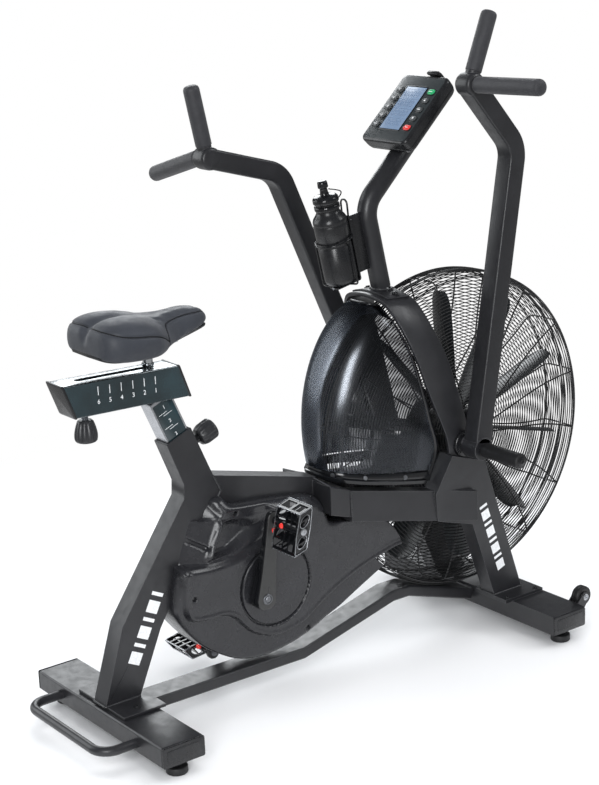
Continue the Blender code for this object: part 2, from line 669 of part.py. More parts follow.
PEDAL_TILT = {'right': 78, 'left': 8}     # degrees
PEDAL_BARREL = [(0.0, 0.0085), (0.0160, 0.0085), (0.0165, 0.0125), (0.0890, 0.0125)]
PEDAL_END = [  # (y, z) of the end plates, in the pedal's own frame
    (-0.0422, -0.0128), (0.0, -0.0170), (0.0422, -0.0128), (0.0422, 0.0128),
    (0.0, 0.0170), (-0.0422, 0.0128)]
PEDAL_PARTS = [  # outline, inner x, outer x
    (PEDAL_END, 0.1120, 0.1165),
    (PEDAL_END, 0.1795, 0.1840),
    (rectangle(-0.0430, -0.0376, -0.0120, 0.0120), 0.1132, 0.1828),
    (rectangle(0.0376, 0.0430, -0.0120, 0.0120), 0.1132, 0.1828),
    (rectangle(-0.0400, 0.0400, -0.0090, 0.0090), 0.1440, 0.1520),
]


def build_crank_axle():
    lathe('crank_axle', CRANK_CENTRE, (1, 0, 0), CRANK_AXLE, 'steel', origin=CRANK_CENTRE)


def build_crank(side, sign):
    """Tapering crank, up on the right and down on the left, with its pedal."""
    along = Vector((0, math.sin(CRANK_ANGLE), math.cos(CRANK_ANGLE))) * sign
    across = Vector((0, math.cos(CRANK_ANGLE), -math.sin(CRANK_ANGLE)))
    centre = Vector(CRANK_CENTRE)
    rings = [[Vector((sign * x, 0, 0)) + centre + along * distance + across * w
              for x, w in rectangle(inner_x, outer_x, -half, half)]
             for distance, half, inner_x, outer_x in CRANK_STATIONS]
    loft('crank_' + side, rings, 'cast_grey', origin=CRANK_CENTRE)
    build_pedal(side, sign, centre + along * CRANK_LENGTH)


def build_pedal(side, sign, spindle):
    """Cage frame round a centre barrel, one closed body."""
    tilt = math.radians(PEDAL_TILT[side])
    pedal_y = Vector((0, math.cos(tilt), math.sin(tilt)))
    pedal_z = Vector((0, -math.sin(tilt), math.cos(tilt)))

    def place(y, z, x):
        return spindle + Vector((sign * x, 0, 0)) + pedal_y * y + pedal_z * z

    body = lathe('pedal_' + side, place(0, 0, 0.0945), (sign, 0, 0), PEDAL_BARREL,
                 'plastic_black', 12, origin=spindle)
    boolean(body, [extrude('tool', outline, place, x0, x1)
                   for outline, x0, x1 in PEDAL_PARTS])


# ---------------------------------------------------------------- seat
SEAT_RAIL = [(-0.510, 0.6500), (-0.271, 0.6440), (-0.293, 0.7070), (-0.533, 0.7130)]  # (y, z)
SADDLE = [  # y, half width, z bottom, z top; rear to nose
    (-0.4760, 0.0340, 0.7600, 0.7930), (-0.4700, 0.0600, 0.7520, 0.8030),
    (-0.4520, 0.0830, 0.7460, 0.8120), (-0.4260, 0.0920, 0.7440, 0.8160),
    (-0.3940, 0.0870, 0.7440, 0.8130), (-0.3620, 0.0720, 0.7440, 0.8060),
    (-0.3300, 0.0550, 0.7440, 0.8010), (-0.2920, 0.0420, 0.7450, 0.8000),
    (-0.2540, 0.0360, 0.7480, 0.8000), (-0.2260, 0.0300, 0.7560, 0.7940),
    (-0.2120, 0.0180, 0.7650, 0.7840)]
SADDLE_SECTION = [  # x in half widths, z in heights
    (-0.80, 0.0), (-1.0, 0.30), (-0.97, 0.62), (-0.78, 0.90), (-0.42, 1.0), (0.0, 0.985),
    (0.42, 1.0), (0.78, 0.90), (0.97, 0.62), (1.0, 0.30), (0.80, 0.0)]
HEIGHT_KNOB_ROOT = Vector((0, -0.2532, 0.5450)) + POST_NORMAL * 0.0006
HEIGHT_KNOB = [  # distance from the root, radius
    (0.0, 0.0080), (0.0130, 0.0085), (0.0140, 0.0165), (0.0260, 0.0215), (0.0440, 0.0215),
    (0.0500, 0.0185), (0.0520, 0.0100)]
SLIDE_KNOB_ROOT = (0, -0.4790, 0.6485)
SLIDE_KNOB = [  # distance from the root, radius
    (0.0, 0.0070), (0.0110, 0.0075), (0.0120, 0.0130), (0.0220, 0.0165), (0.0460, 0.0215),
    (0.0520, 0.0205), (0.0540, 0.0120)]


def build_seat_support():
    post_bar('seat_post', 0, -0.085, 0.0855, 'chrome')
    rail = prism('seat_rail', SEAT_RAIL, -0.0280, 0.0280, 'chrome', origin=(0, -0.33, 0.65))
    bevel(rail, 0.002)
    boolean(rail, [post_bar('tool', 0.0004, -0.05, 0.0860)], 'DIFFERENCE')
    box('saddle_carriage', -0.0230, 0.0230, -0.4450, -0.3150, 0.7142, 0.7434,
        'plastic_black', origin=(0, -0.39, 0.72))


def build_saddle():
    rings = [[(a * half, y, bottom + b * (top - bottom)) for a, b in SADDLE_SECTION]
             for y, half, bottom, top in SADDLE]
    loft('saddle', rings, 'vinyl', origin=(0, -0.39, 0.73))


def build_seat_knobs():
    lathe('seat_height_knob', HEIGHT_KNOB_ROOT, POST_NORMAL, HEIGHT_KNOB, 'plastic_black',
          16, origin=HEIGHT_KNOB_ROOT)
    lathe('seat_slide_knob', SLIDE_KNOB_ROOT, (0, 0, -1), SLIDE_KNOB, 'plastic_black', 16,
          origin=SLIDE_KNOB_ROOT)


# ---------------------------------------------------------------- console
FACE_BOTTOM = Vector((0, 0.2290, 1.0600))                    # bottom centre of the face
FACE_UP = Vector((0, 0.7210, 0.6929)).normalized()
FACE_NORMAL = Vector((0, -0.6929, 0.7210)).normalized()      # out of the face
FACE_HEIGHT = 0.163
CONSOLE = [  # width, height, corner radius, level above the face
    (0.104, 0.136, 0.012, -0.0410), (0.128, 0.160, 0.012, -0.0330),
    (0.136, 0.170, 0.012, -0.0040), (0.128, FACE_HEIGHT, 0.010, 0.0)]
KEY_WIDTH, KEY_HEIGHT, KEY_CORNER = 0.0170, 0.0110, 0.0035
KEY_X = 0.0470
KEY_FIRST, KEY_PITCH = 0.0350, 0.0225     # up the face
SPECIAL_KEYS = {'key_r1': ('key_stop', 'key_red'), 'key_r5': ('key_start', 'key_green')}


def console_point(x, v, level):
    """x across the face, v up it, level out of it."""
    return FACE_BOTTOM + FACE_UP * v + FACE_NORMAL * level + Vector((x, 0, 0))


def build_console():
    rings = [[console_point(a, b + FACE_HEIGHT / 2, level)
              for a, b in rounded_rectangle(width, height, corner, 2)]
             for width, height, corner, level in CONSOLE]
    loft('console', rings, 'plastic_black')
    extrude('screen_lens', rectangle(-0.0310, 0.0270, 0.0280, 0.1340), console_point,
            0.0003, 0.0016, 'screen')


def build_keys():
    """Two columns of five keys, numbered upward."""
    outline = rounded_rectangle(KEY_WIDTH, KEY_HEIGHT, KEY_CORNER, 2)
    for column, x in (('l', -KEY_X), ('r', KEY_X)):
        for k in range(5):
            v = KEY_FIRST + KEY_PITCH * k
            name = 'key_%s%d' % (column, k + 1)
            name, material = SPECIAL_KEYS.get(name, (name, 'key_grey'))
            extrude(name, [(a + x, b + v) for a, b in outline], console_point,
                    0.0013, 0.0036, material, origin=console_point(x, v, 0.0))


# ---------------------------------------------------------------- bottle and cage
BOTTLE_AXIS = Vector((0, -0.1994, 0.9799))    # upward
BOTTLE_FRONT = Vector((0, 0.9799, 0.1994))    # toward the mast
BOTTLE_BASE = Vector((0, 0.1175, 0.7950))
BOTTLE = [  # distance above the base, radius
    (0.0, 0.0270), (0.004, 0.0325), (0.078, 0.0335), (0.120, 0.0340), (0.132, 0.0330),
    (0.144, 0.0245), (0.152, 0.0215), (0.160, 0.0255), (0.180, 0.0250), (0.183, 0.0130),
    (0.195, 0.0110), (0.196, 0.0125), (0.208, 0.0115)]
CAGE_RING = [(0.085, 0.0350), (0.085, 0.0390), (0.090, 0.0390), (0.090, 0.0350)]  # h, radius
CAGE_BOTTOM = -0.0085
LUG_HEIGHT = 0.012


def bottle_point(x, front, h):
    return BOTTLE_BASE + Vector((x, 0, 0)) + BOTTLE_FRONT * front + BOTTLE_AXIS * h


def build_bottle():
    lathe('bottle', BOTTLE_BASE, BOTTLE_AXIS, BOTTLE, 'plastic_black', 18,
          origin=BOTTLE_BASE)


def build_bottle_cage():
    """Backbone plate, base shelf, one ring and two lugs that stop just off the mast."""
    cage = extrude('bottle_cage', rectangle(-0.012, 0.012, 0.0365, 0.0405), bottle_point,
                   CAGE_BOTTOM, 0.1250, 'wire_black')
    shelf = extrude('tool', rectangle(-0.015, 0.015, -0.0250, 0.0385), bottle_point,
                    CAGE_BOTTOM, -0.0045)
    ring = loft('tool', [[bottle_point(a, b, h) for a, b in circle(radius, 20)]
                         for h, radius in CAGE_RING], closed=True)
    lugs = [extrude('tool', rectangle(-0.008, 0.008, 0.039, 0.0690), bottle_point,
                    h, h + LUG_HEIGHT) for h in (0.020, 0.095)]
    boolean(cage, [shelf, ring] + lugs)
    boolean(cage, [sweep('tool', MAST_PATH, circle(0.02035, 14))], 'DIFFERENCE')


# ---------------------------------------------------------------- wheels and feet
WHEEL_PROFILE = [  # x, radius
    (-0.0095, 0.0040), (-0.0095, 0.0180), (-0.0070, 0.0215), (0.0070, 0.0215),
    (0.0095, 0.0180), (0.0095, 0.0040)]
FOOT_PROFILE = [  # height above the ground, radius
    (0.0, 0.0180), (0.002, 0.0205), (0.010, 0.0205), (0.0125, 0.0160), (0.0130, 0.0070),
    (STAB_BOTTOM + Z_SHIFT - GAP, 0.0070)]
FEET = [('rear', 0.198, REAR_STAB_Y), ('front', 0.246, FRONT_STAB_Y)]  # end, x, stabiliser y


def build_transport_wheel(side, sign):
    centre = (sign * WHEEL_X, WHEEL_Y, WHEEL_Z)
    lathe('transport_wheel_' + side, centre, (1, 0, 0), WHEEL_PROFILE, 'rubber', 20,
          origin=centre, closed=True)


def build_feet(side, sign):
    for end, x, stabiliser_y in FEET:
        base = (sign * x, stabiliser_y + STAB_DEPTH / 2, -Z_SHIFT)
        lathe('foot_%s_%s' % (end, side), base, (0, 0, 1), FOOT_PROFILE, 'rubber', 16,
              origin=base)


# ---------------------------------------------------------------- build
for build in (build_rear_stabiliser, build_seat_upright, build_top_tube,
              build_front_stabiliser, build_centre_beam, build_arch, build_mast,
              build_shield, build_shield_trim, build_fan, build_crank_axle,
              build_seat_support, build_saddle, build_seat_knobs, build_console,
              build_keys, build_bottle, build_bottle_cage):
    build()

for build_side in (build_fork, build_chain_case, build_fan_guard, build_axle_plate,
                   build_pivot, build_arm, build_crank, build_transport_wheel, build_feet):
    for side_name, side_sign in SIDES:
        build_side(side_name, side_sign)
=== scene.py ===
"""Air bike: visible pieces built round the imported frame. Metres, +Z up, +Y (front) toward the fan,
+X to the rider's right. Points are written in the CAD source's own coordinates; SHIFT moves
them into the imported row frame."""
import bpy
import bmesh
import json
import math
import random
import numpy as np
from mathutils import Vector, Matrix, kdtree
from mathutils.bvhtree import BVHTree
from mathutils.geometry import delaunay_2d_cdt

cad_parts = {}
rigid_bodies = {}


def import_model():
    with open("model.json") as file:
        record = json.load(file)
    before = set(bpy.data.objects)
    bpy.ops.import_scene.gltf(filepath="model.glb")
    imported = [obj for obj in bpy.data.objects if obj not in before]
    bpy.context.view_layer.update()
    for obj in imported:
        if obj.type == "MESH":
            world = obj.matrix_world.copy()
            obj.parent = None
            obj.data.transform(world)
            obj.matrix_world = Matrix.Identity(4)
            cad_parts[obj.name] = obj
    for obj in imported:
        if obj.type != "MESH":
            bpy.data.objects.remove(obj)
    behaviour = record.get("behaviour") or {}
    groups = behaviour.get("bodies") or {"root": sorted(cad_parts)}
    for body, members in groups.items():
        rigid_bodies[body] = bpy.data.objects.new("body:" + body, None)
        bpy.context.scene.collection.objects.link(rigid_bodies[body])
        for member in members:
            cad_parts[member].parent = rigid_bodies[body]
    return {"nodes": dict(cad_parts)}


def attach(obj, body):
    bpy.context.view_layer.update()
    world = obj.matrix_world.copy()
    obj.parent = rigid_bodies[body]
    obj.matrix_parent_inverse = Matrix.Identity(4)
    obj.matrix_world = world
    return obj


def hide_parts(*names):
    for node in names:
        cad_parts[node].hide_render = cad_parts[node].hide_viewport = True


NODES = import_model()["nodes"]
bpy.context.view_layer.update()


def vec(x, y, z):
    return Vector((x, y, z))


REAR_BAR = NODES['rear_stabiliser']
REAR_END = min((REAR_BAR.matrix_world @ v.co).y for v in REAR_BAR.data.vertices)
SHIFT = vec(0.0, REAR_END + 0.5, -0.006)
SIDES = (('right', 1), ('left', -1))
X_AXIS, Y_AXIS, Z_AXIS = vec(1, 0, 0), vec(0, 1, 0), vec(0, 0, 1)
weld_random = random.Random(11)

# ---- places shared by several sections
REAR_BAR_Y, FRONT_BAR_Y, BAR_Z = -0.4545, 0.4755, 0.05535   # stabiliser centre lines
BAR_TOP = 0.0822            # seat of the bolts on the stabilisers
WELD_Z = 0.0826             # weld beads on the stabilisers
FORK_LEAN = 0.055           # how far each fork leg closes in per metre down
FAN_CENTRE = vec(0, 0.395, 0.437)
ARM_PIVOT = vec(0, 0.325, 0.4425)
MAST = [(0, 0.2155, 0.769), (0, 0.18, 0.936), (0, 0.325, 1.079)]

# =============================================================== materials
MAT = {}


class Tree:
    """A node tree; inputs are given as {socket: value, or the node or socket to link}."""

    def __init__(self, owner, clear=True):
        owner.use_nodes = True
        self.nodes, self.links = owner.node_tree.nodes, owner.node_tree.links
        if clear:
            self.nodes.clear()

    def set(self, node, inputs):
        for key, value in inputs.items():
            if isinstance(value, bpy.types.Node):
                value = value.outputs[0]
            if isinstance(value, bpy.types.NodeSocket):
                self.links.new(value, node.inputs[key])
            else:
                node.inputs[key].default_value = value

    def add(self, kind, inputs=None, **settings):
        node = self.nodes.new('ShaderNode' + kind)
        for key, value in settings.items():
            setattr(node, key, value)
        self.set(node, inputs or {})
        return node

    def object_coords(self):
        return self.add('TexCoord').outputs['Object']

    def noise(self, coords, scale, **detail):
        inputs = {'Vector': coords, 'Scale': scale}
        if detail:
            inputs['Detail'] = detail['detail']
        return self.add('TexNoise', inputs)

    def ramp(self, factor, low, high, start=0.0, end=1.0):
        node = self.add('ValToRGB', {0: factor})
        for element, place, colour in zip(node.color_ramp.elements, (start, end), (low, high)):
            element.position = place
            element.color = (*colour, 1)
        return node

    def remap(self, value, to, source=(0.0, 1.0), **settings):
        return self.add('MapRange', {'Value': value, 'From Min': source[0], 'From Max': source[1],
                                     'To Min': to[0], 'To Max': to[1]}, **settings)

    def bump(self, height, strength, distance, below=None):
        inputs = {'Strength': strength, 'Distance': distance, 'Height': height}
        if below is not None:
            inputs['Normal'] = below
        return self.add('Bump', inputs)


def painted_edge_highlight(tree, colour, radius, amount, highlight_colour):
    """Painted highlight: blends toward a lighter colour where the surface turns sharply, standing in
    for gloss highlights along edges.
    """
    rounded = tree.add('Bevel', {'Radius': radius}, samples=4)
    flatness = tree.add('VectorMath', {0: tree.add('NewGeometry').outputs['Normal'], 1: rounded},
                        operation='DOT_PRODUCT')
    highlight_share = tree.remap(flatness.outputs['Value'], source=(0.985, 0.86), to=(0.0, amount))
    mix = tree.add('Mix', {'B': (*highlight_colour, 1), 'Factor': highlight_share, 'A': colour}, data_type='RGBA')
    return mix.outputs['Result']


def material(name, colour, rough, vary, scale, bump, metal=0.0, coarse_bump=None, cells=None,
             stretch=None, edge_highlight=None, coat=0.0, coat_rough=0.08, sheen=0.0, painted_glow=0.0):
    """One Principled shader with colour, roughness and normal from object-space noise."""
    mat = bpy.data.materials.new(name)
    tree = Tree(mat)
    shader = tree.add('BsdfPrincipled')
    tree.add('OutputMaterial', {0: shader})
    coords = tree.object_coords()
    grain = coords
    if stretch:
        grain = tree.add('Mapping', {'Scale': stretch, 'Vector': coords}).outputs['Vector']
    low = [max(0.0, c * (1 - vary)) for c in colour]
    high = [min(1.0, c * (1 + vary)) for c in colour]
    base = tree.ramp(tree.noise(coords, scale, detail=5.0), low, high, 0.3, 0.7).outputs[0]
    # painted highlight: sharp edges lighten toward a pale colour as if catching gloss
    if edge_highlight:
        base = painted_edge_highlight(tree, base, **edge_highlight)
    roughness = tree.remap(tree.noise(grain, scale * 2.7, detail=6.0), rough, (0.32, 0.68))
    normal = None
    if cells:
        voronoi = tree.add('TexVoronoi', {'Scale': cells[0], 'Vector': grain})
        normal = tree.bump(voronoi.outputs['Distance'], *cells[1:])
    for relief in (coarse_bump, bump):
        if relief:
            normal = tree.bump(tree.noise(grain, relief[0], detail=3.0), *relief[1:], normal)
    tree.set(shader, {'Base Color': base, 'Roughness': roughness, 'Normal': normal,
                      'Metallic': metal, 'Coat Weight': coat, 'Coat Roughness': coat_rough,
                      'Sheen Weight': sheen, 'Sheen Roughness': 0.45})
    # painted glow: the base colour also emits light, though the part is no lamp
    if painted_glow:
        tree.set(shader, {'Emission Color': base, 'Emission Strength': painted_glow})
    MAT[name] = mat


MATERIALS = [
    # powder_black's sharp edges carry a painted highlight, lightened toward pale grey
    ('powder_black', 'frame_black', (0.015, 0.0152, 0.0172), (0.30, 0.42), 0.16, 24,
     (1500, 0.14, 0.0003), dict(coarse_bump=(420, 0.08, 0.0004),
                                edge_highlight=dict(radius=0.0014, amount=0.42, highlight_colour=(0.16, 0.16, 0.17)))),
    ('powder_weld', 'frame_black', (0.023, 0.0235, 0.0255), (0.24, 0.38), 0.20, 160,
     (700, 0.25, 0.0005), {}),
    ('case_plastic', 'plastic_black', (0.015, 0.0152, 0.0175), (0.22, 0.30), 0.14, 18,
     (700, 0.05, 0.0002), {}),
    ('satin_black', 'plastic_black', (0.009, 0.0093, 0.0105), (0.22, 0.34), 0.18, 40,
     (1300, 0.10, 0.0002), {}),
    ('gloss_black', 'plastic_black', (0.006, 0.0064, 0.0075), (0.10, 0.20), 0.2, 30,
     (300, 0.05, 0.0002), {}),
    ('wire_black', 'wire_black', (0.0085, 0.0085, 0.009), (0.28, 0.42), 0.2, 60,
     (1200, 0.1, 0.0002), {}),
    ('blade_grey', 'plastic_black', (0.016, 0.018, 0.02), (0.24, 0.36), 0.12, 22,
     (900, 0.08, 0.0002), {}),
    ('chrome', 'chrome', (0.58, 0.60, 0.62), (0.12, 0.24), 0.04, 20,
     (220, 0.04, 0.0002), dict(metal=1.0)),
    ('plate_steel', 'chrome', (0.27, 0.29, 0.30), (0.16, 0.30), 0.25, 24,
     (260, 0.10, 0.0003), dict(metal=1.0)),
    ('steel', 'steel', (0.42, 0.43, 0.45), (0.22, 0.36), 0.10, 60,
     (900, 0.12, 0.0002), dict(metal=1.0, stretch=(1.0, 6.0, 6.0))),
    ('zinc_dark', 'steel', (0.16, 0.165, 0.175), (0.26, 0.42), 0.15, 90,
     (1100, 0.15, 0.0002), dict(metal=0.9)),
    ('label_teal', 'plastic_black', (0.01, 0.023, 0.028), (0.09, 0.20), 0.45, 14,
     (160, 0.05, 0.0002), dict(coat=0.6, coat_rough=0.04)),
    ('print_white', 'steel', (0.80, 0.81, 0.82), (0.40, 0.55), 0.10, 260,
     (1500, 0.1, 0.0001), {}),
    ('vinyl', 'vinyl', (0.0265, 0.03, 0.0385), (0.52, 0.66), 0.10, 26,
     (520, 0.22, 0.0004), dict(cells=(1300, 0.26, 0.0003), sheen=0.12)),
    ('thread', 'vinyl', (0.005, 0.005, 0.0056), (0.70, 0.85), 0.2, 900,
     (3500, 0.4, 0.0002), {}),
    ('foam', 'foam', (0.025, 0.0252, 0.029), (0.50, 0.64), 0.16, 70,
     (1500, 0.30, 0.0004), dict(cells=(1900, 0.30, 0.0003), sheen=0.12)),
    ('rubber', 'rubber', (0.008, 0.008, 0.0088), (0.42, 0.58), 0.20, 80,
     (1200, 0.25, 0.0003), {}),
    ('knob_plastic', 'plastic_black', (0.018, 0.0185, 0.0205), (0.32, 0.44), 0.14, 60,
     (1200, 0.14, 0.0002), {}),
    ('cast_grey', 'cast_grey', (0.03, 0.03, 0.0295), (0.40, 0.55), 0.10, 70,
     (1100, 0.20, 0.0003), {}),
    ('lcd', 'screen', (0.15, 0.215, 0.32), (0.22, 0.30), 0.07, 20,
     (900, 0.02, 0.0001), dict(coat_rough=0.05)),
    ('lcd_mark', 'screen', (0.07, 0.105, 0.18), (0.25, 0.35), 0.08, 300,
     (1500, 0.02, 0.0001), {}),
    ('console_face', 'plastic_black', (0.019, 0.0235, 0.0255), (0.30, 0.42), 0.08, 40,
     (1600, 0.12, 0.0002), {}),
    ('key_grey', 'key_grey', (0.042, 0.046, 0.048), (0.30, 0.42), 0.10, 200,
     (1500, 0.08, 0.0001), {}),
    ('key_green', 'key_green', (0.01, 0.3, 0.105), (0.24, 0.34), 0.12, 160,
     (1500, 0.06, 0.0001), {}),
    ('key_red', 'key_red', (0.56, 0.024, 0.02), (0.24, 0.34), 0.12, 160,
     (1500, 0.06, 0.0001), {}),
    # the red reflectors carry a painted glow
    ('reflector_red', 'key_red', (0.75, 0.03, 0.022), (0.10, 0.18), 0.18, 420,
     (900, 0.05, 0.0001), dict(cells=(1700, 0.4, 0.0003), coat=1.0, coat_rough=0.03, painted_glow=0.25)),
]
for mat_name, kit_slot, colour, rough, vary, scale, relief, extras in MATERIALS:
    material(mat_name, colour, rough, vary, scale, relief, **extras)


def smoked_clear():
    """Tinted see-through sheet with a grey Fresnel reflection; its tint carries a painted dark
    reflection toward the fork and the top.
    """
    mat = bpy.data.materials.new('smoked_clear')
    tree = Tree(mat)
    coords = tree.object_coords()
    tint = tree.ramp(tree.noise(coords, 7.0), (0.75, 0.755, 0.765), (0.87, 0.875, 0.885), 0.3, 0.7)
    # painted dark reflection: the see-through tint is darkened toward the fork and toward the top
    split = tree.add('SeparateXYZ', {0: coords})
    shade_by_y = tree.remap(split.outputs[1], source=(0.02, 0.15), to=(1.12, 0.56))
    shade_by_z = tree.remap(split.outputs[2], source=(0.45, 0.68), to=(1.0, 0.93))
    depth = tree.add('Math', {0: shade_by_y, 1: shade_by_z}, operation='MULTIPLY')
    reflection_shaded_tint = tree.add('VectorMath', {0: tint, 'Scale': depth}, operation='SCALE')
    clear = tree.add('BsdfTransparent', {'Color': reflection_shaded_tint})
    rough = tree.remap(tree.noise(coords, 60.0), (0.20, 0.25))
    ripple = tree.bump(tree.noise(coords, 16.0), strength=0.012, distance=0.001)
    gloss = tree.add('BsdfGlossy', {'Color': (0.56, 0.59, 0.64, 1), 'Roughness': rough,
                                    'Normal': ripple})
    fresnel = tree.add('Fresnel', {'IOR': 1.46})
    share = tree.add('Math', {0: fresnel, 1: 1.0, 2: 0.0}, operation='MULTIPLY_ADD',
                     use_clamp=True)
    tree.add('OutputMaterial', {0: tree.add('MixShader', {0: share, 1: clear, 2: gloss})})
    MAT['smoked_clear'] = mat


smoked_clear()


# =============================================================== geometry tools
def axes_round(axis):
    """The unit axis and two directions square to it."""
    axis = Vector(axis).normalized()
    first = axis.cross(X_AXIS if abs(axis.x) < 0.9 else Y_AXIS).normalized()
    return axis, first, axis.cross(first).normalized()


def circle(n):
    """(cos, sin) at n even steps round a turn."""
    return [(math.cos(2 * math.pi * k / n), math.sin(2 * math.pi * k / n)) for k in range(n)]


def tilt(degrees):
    """Unit direction in the YZ plane, leaning forward from vertical."""
    angle = math.radians(degrees)
    return vec(0, math.sin(angle), math.cos(angle))


def rounded_rect(width, height, radius, seg):
    points = []
    half_w, half_h = width / 2 - radius, height / 2 - radius
    for x, y, start in ((half_w, half_h, 0), (-half_w, half_h, 90),
                        (-half_w, -half_h, 180), (half_w, -half_h, 270)):
        for k in range(seg + 1):
            angle = math.radians(start + 90 * k / seg)
            points.append((x + radius * math.cos(angle), y + radius * math.sin(angle)))
    return points


def fillet(points, radius, seg, closed=False):
    """Rounds the corners of a polyline."""
    count = len(points)
    out = [] if closed else [Vector(points[0])]
    for i in range(count) if closed else range(1, count - 1):
        corner = Vector(points[i])
        before, after = Vector(points[i - 1]) - corner, Vector(points[(i + 1) % count]) - corner
        to_last, to_next = before.normalized(), after.normalized()
        angle = to_last.angle(to_next)
        if angle > math.pi - 0.01:
            out.append(corner)
            continue
        reach = min(radius / math.tan(angle / 2), before.length * 0.49, after.length * 0.49)
        bend = reach * math.tan(angle / 2)
        centre = corner + (to_last + to_next).normalized() * (bend / math.sin(angle / 2))
        start, end = corner + to_last * reach, corner + to_next * reach
        for k in range(seg + 1):
            arm = (start - centre).lerp(end - centre, k / seg)
            out.append(centre + arm.normalized() * bend)
    if not closed:
        out.append(Vector(points[-1]))
    return out


def spline(points, per, closed=False):
    """Catmull-Rom through tuples of any length, per steps to a span."""
    P = [np.array(p, float) for p in points]
    n = len(P)
    out = []
    for i in range(n if closed else n - 1):
        p1, p2 = P[i], P[(i + 1) % n]
        p0 = P[i - 1] if (closed or i > 0) else p1 * 2 - p2
        p3 = P[(i + 2) % n] if (closed or i < n - 2) else p2 * 2 - p1
        for k in range(per):
            t = k / per
            out.append(0.5 * ((2 * p1) + (p2 - p0) * t + (2 * p0 - 5 * p1 + 4 * p2 - p3) * t * t
                              + (3 * p1 - p0 - 3 * p2 + p3) * t ** 3))
    if not closed:
        out.append(P[-1])
    return out


def unit_plane(plane):
    """A plane is (origin, u, w, outward); the three directions come back as unit vectors."""
    return [Vector(plane[0])] + [Vector(axis).normalized() for axis in plane[1:]]


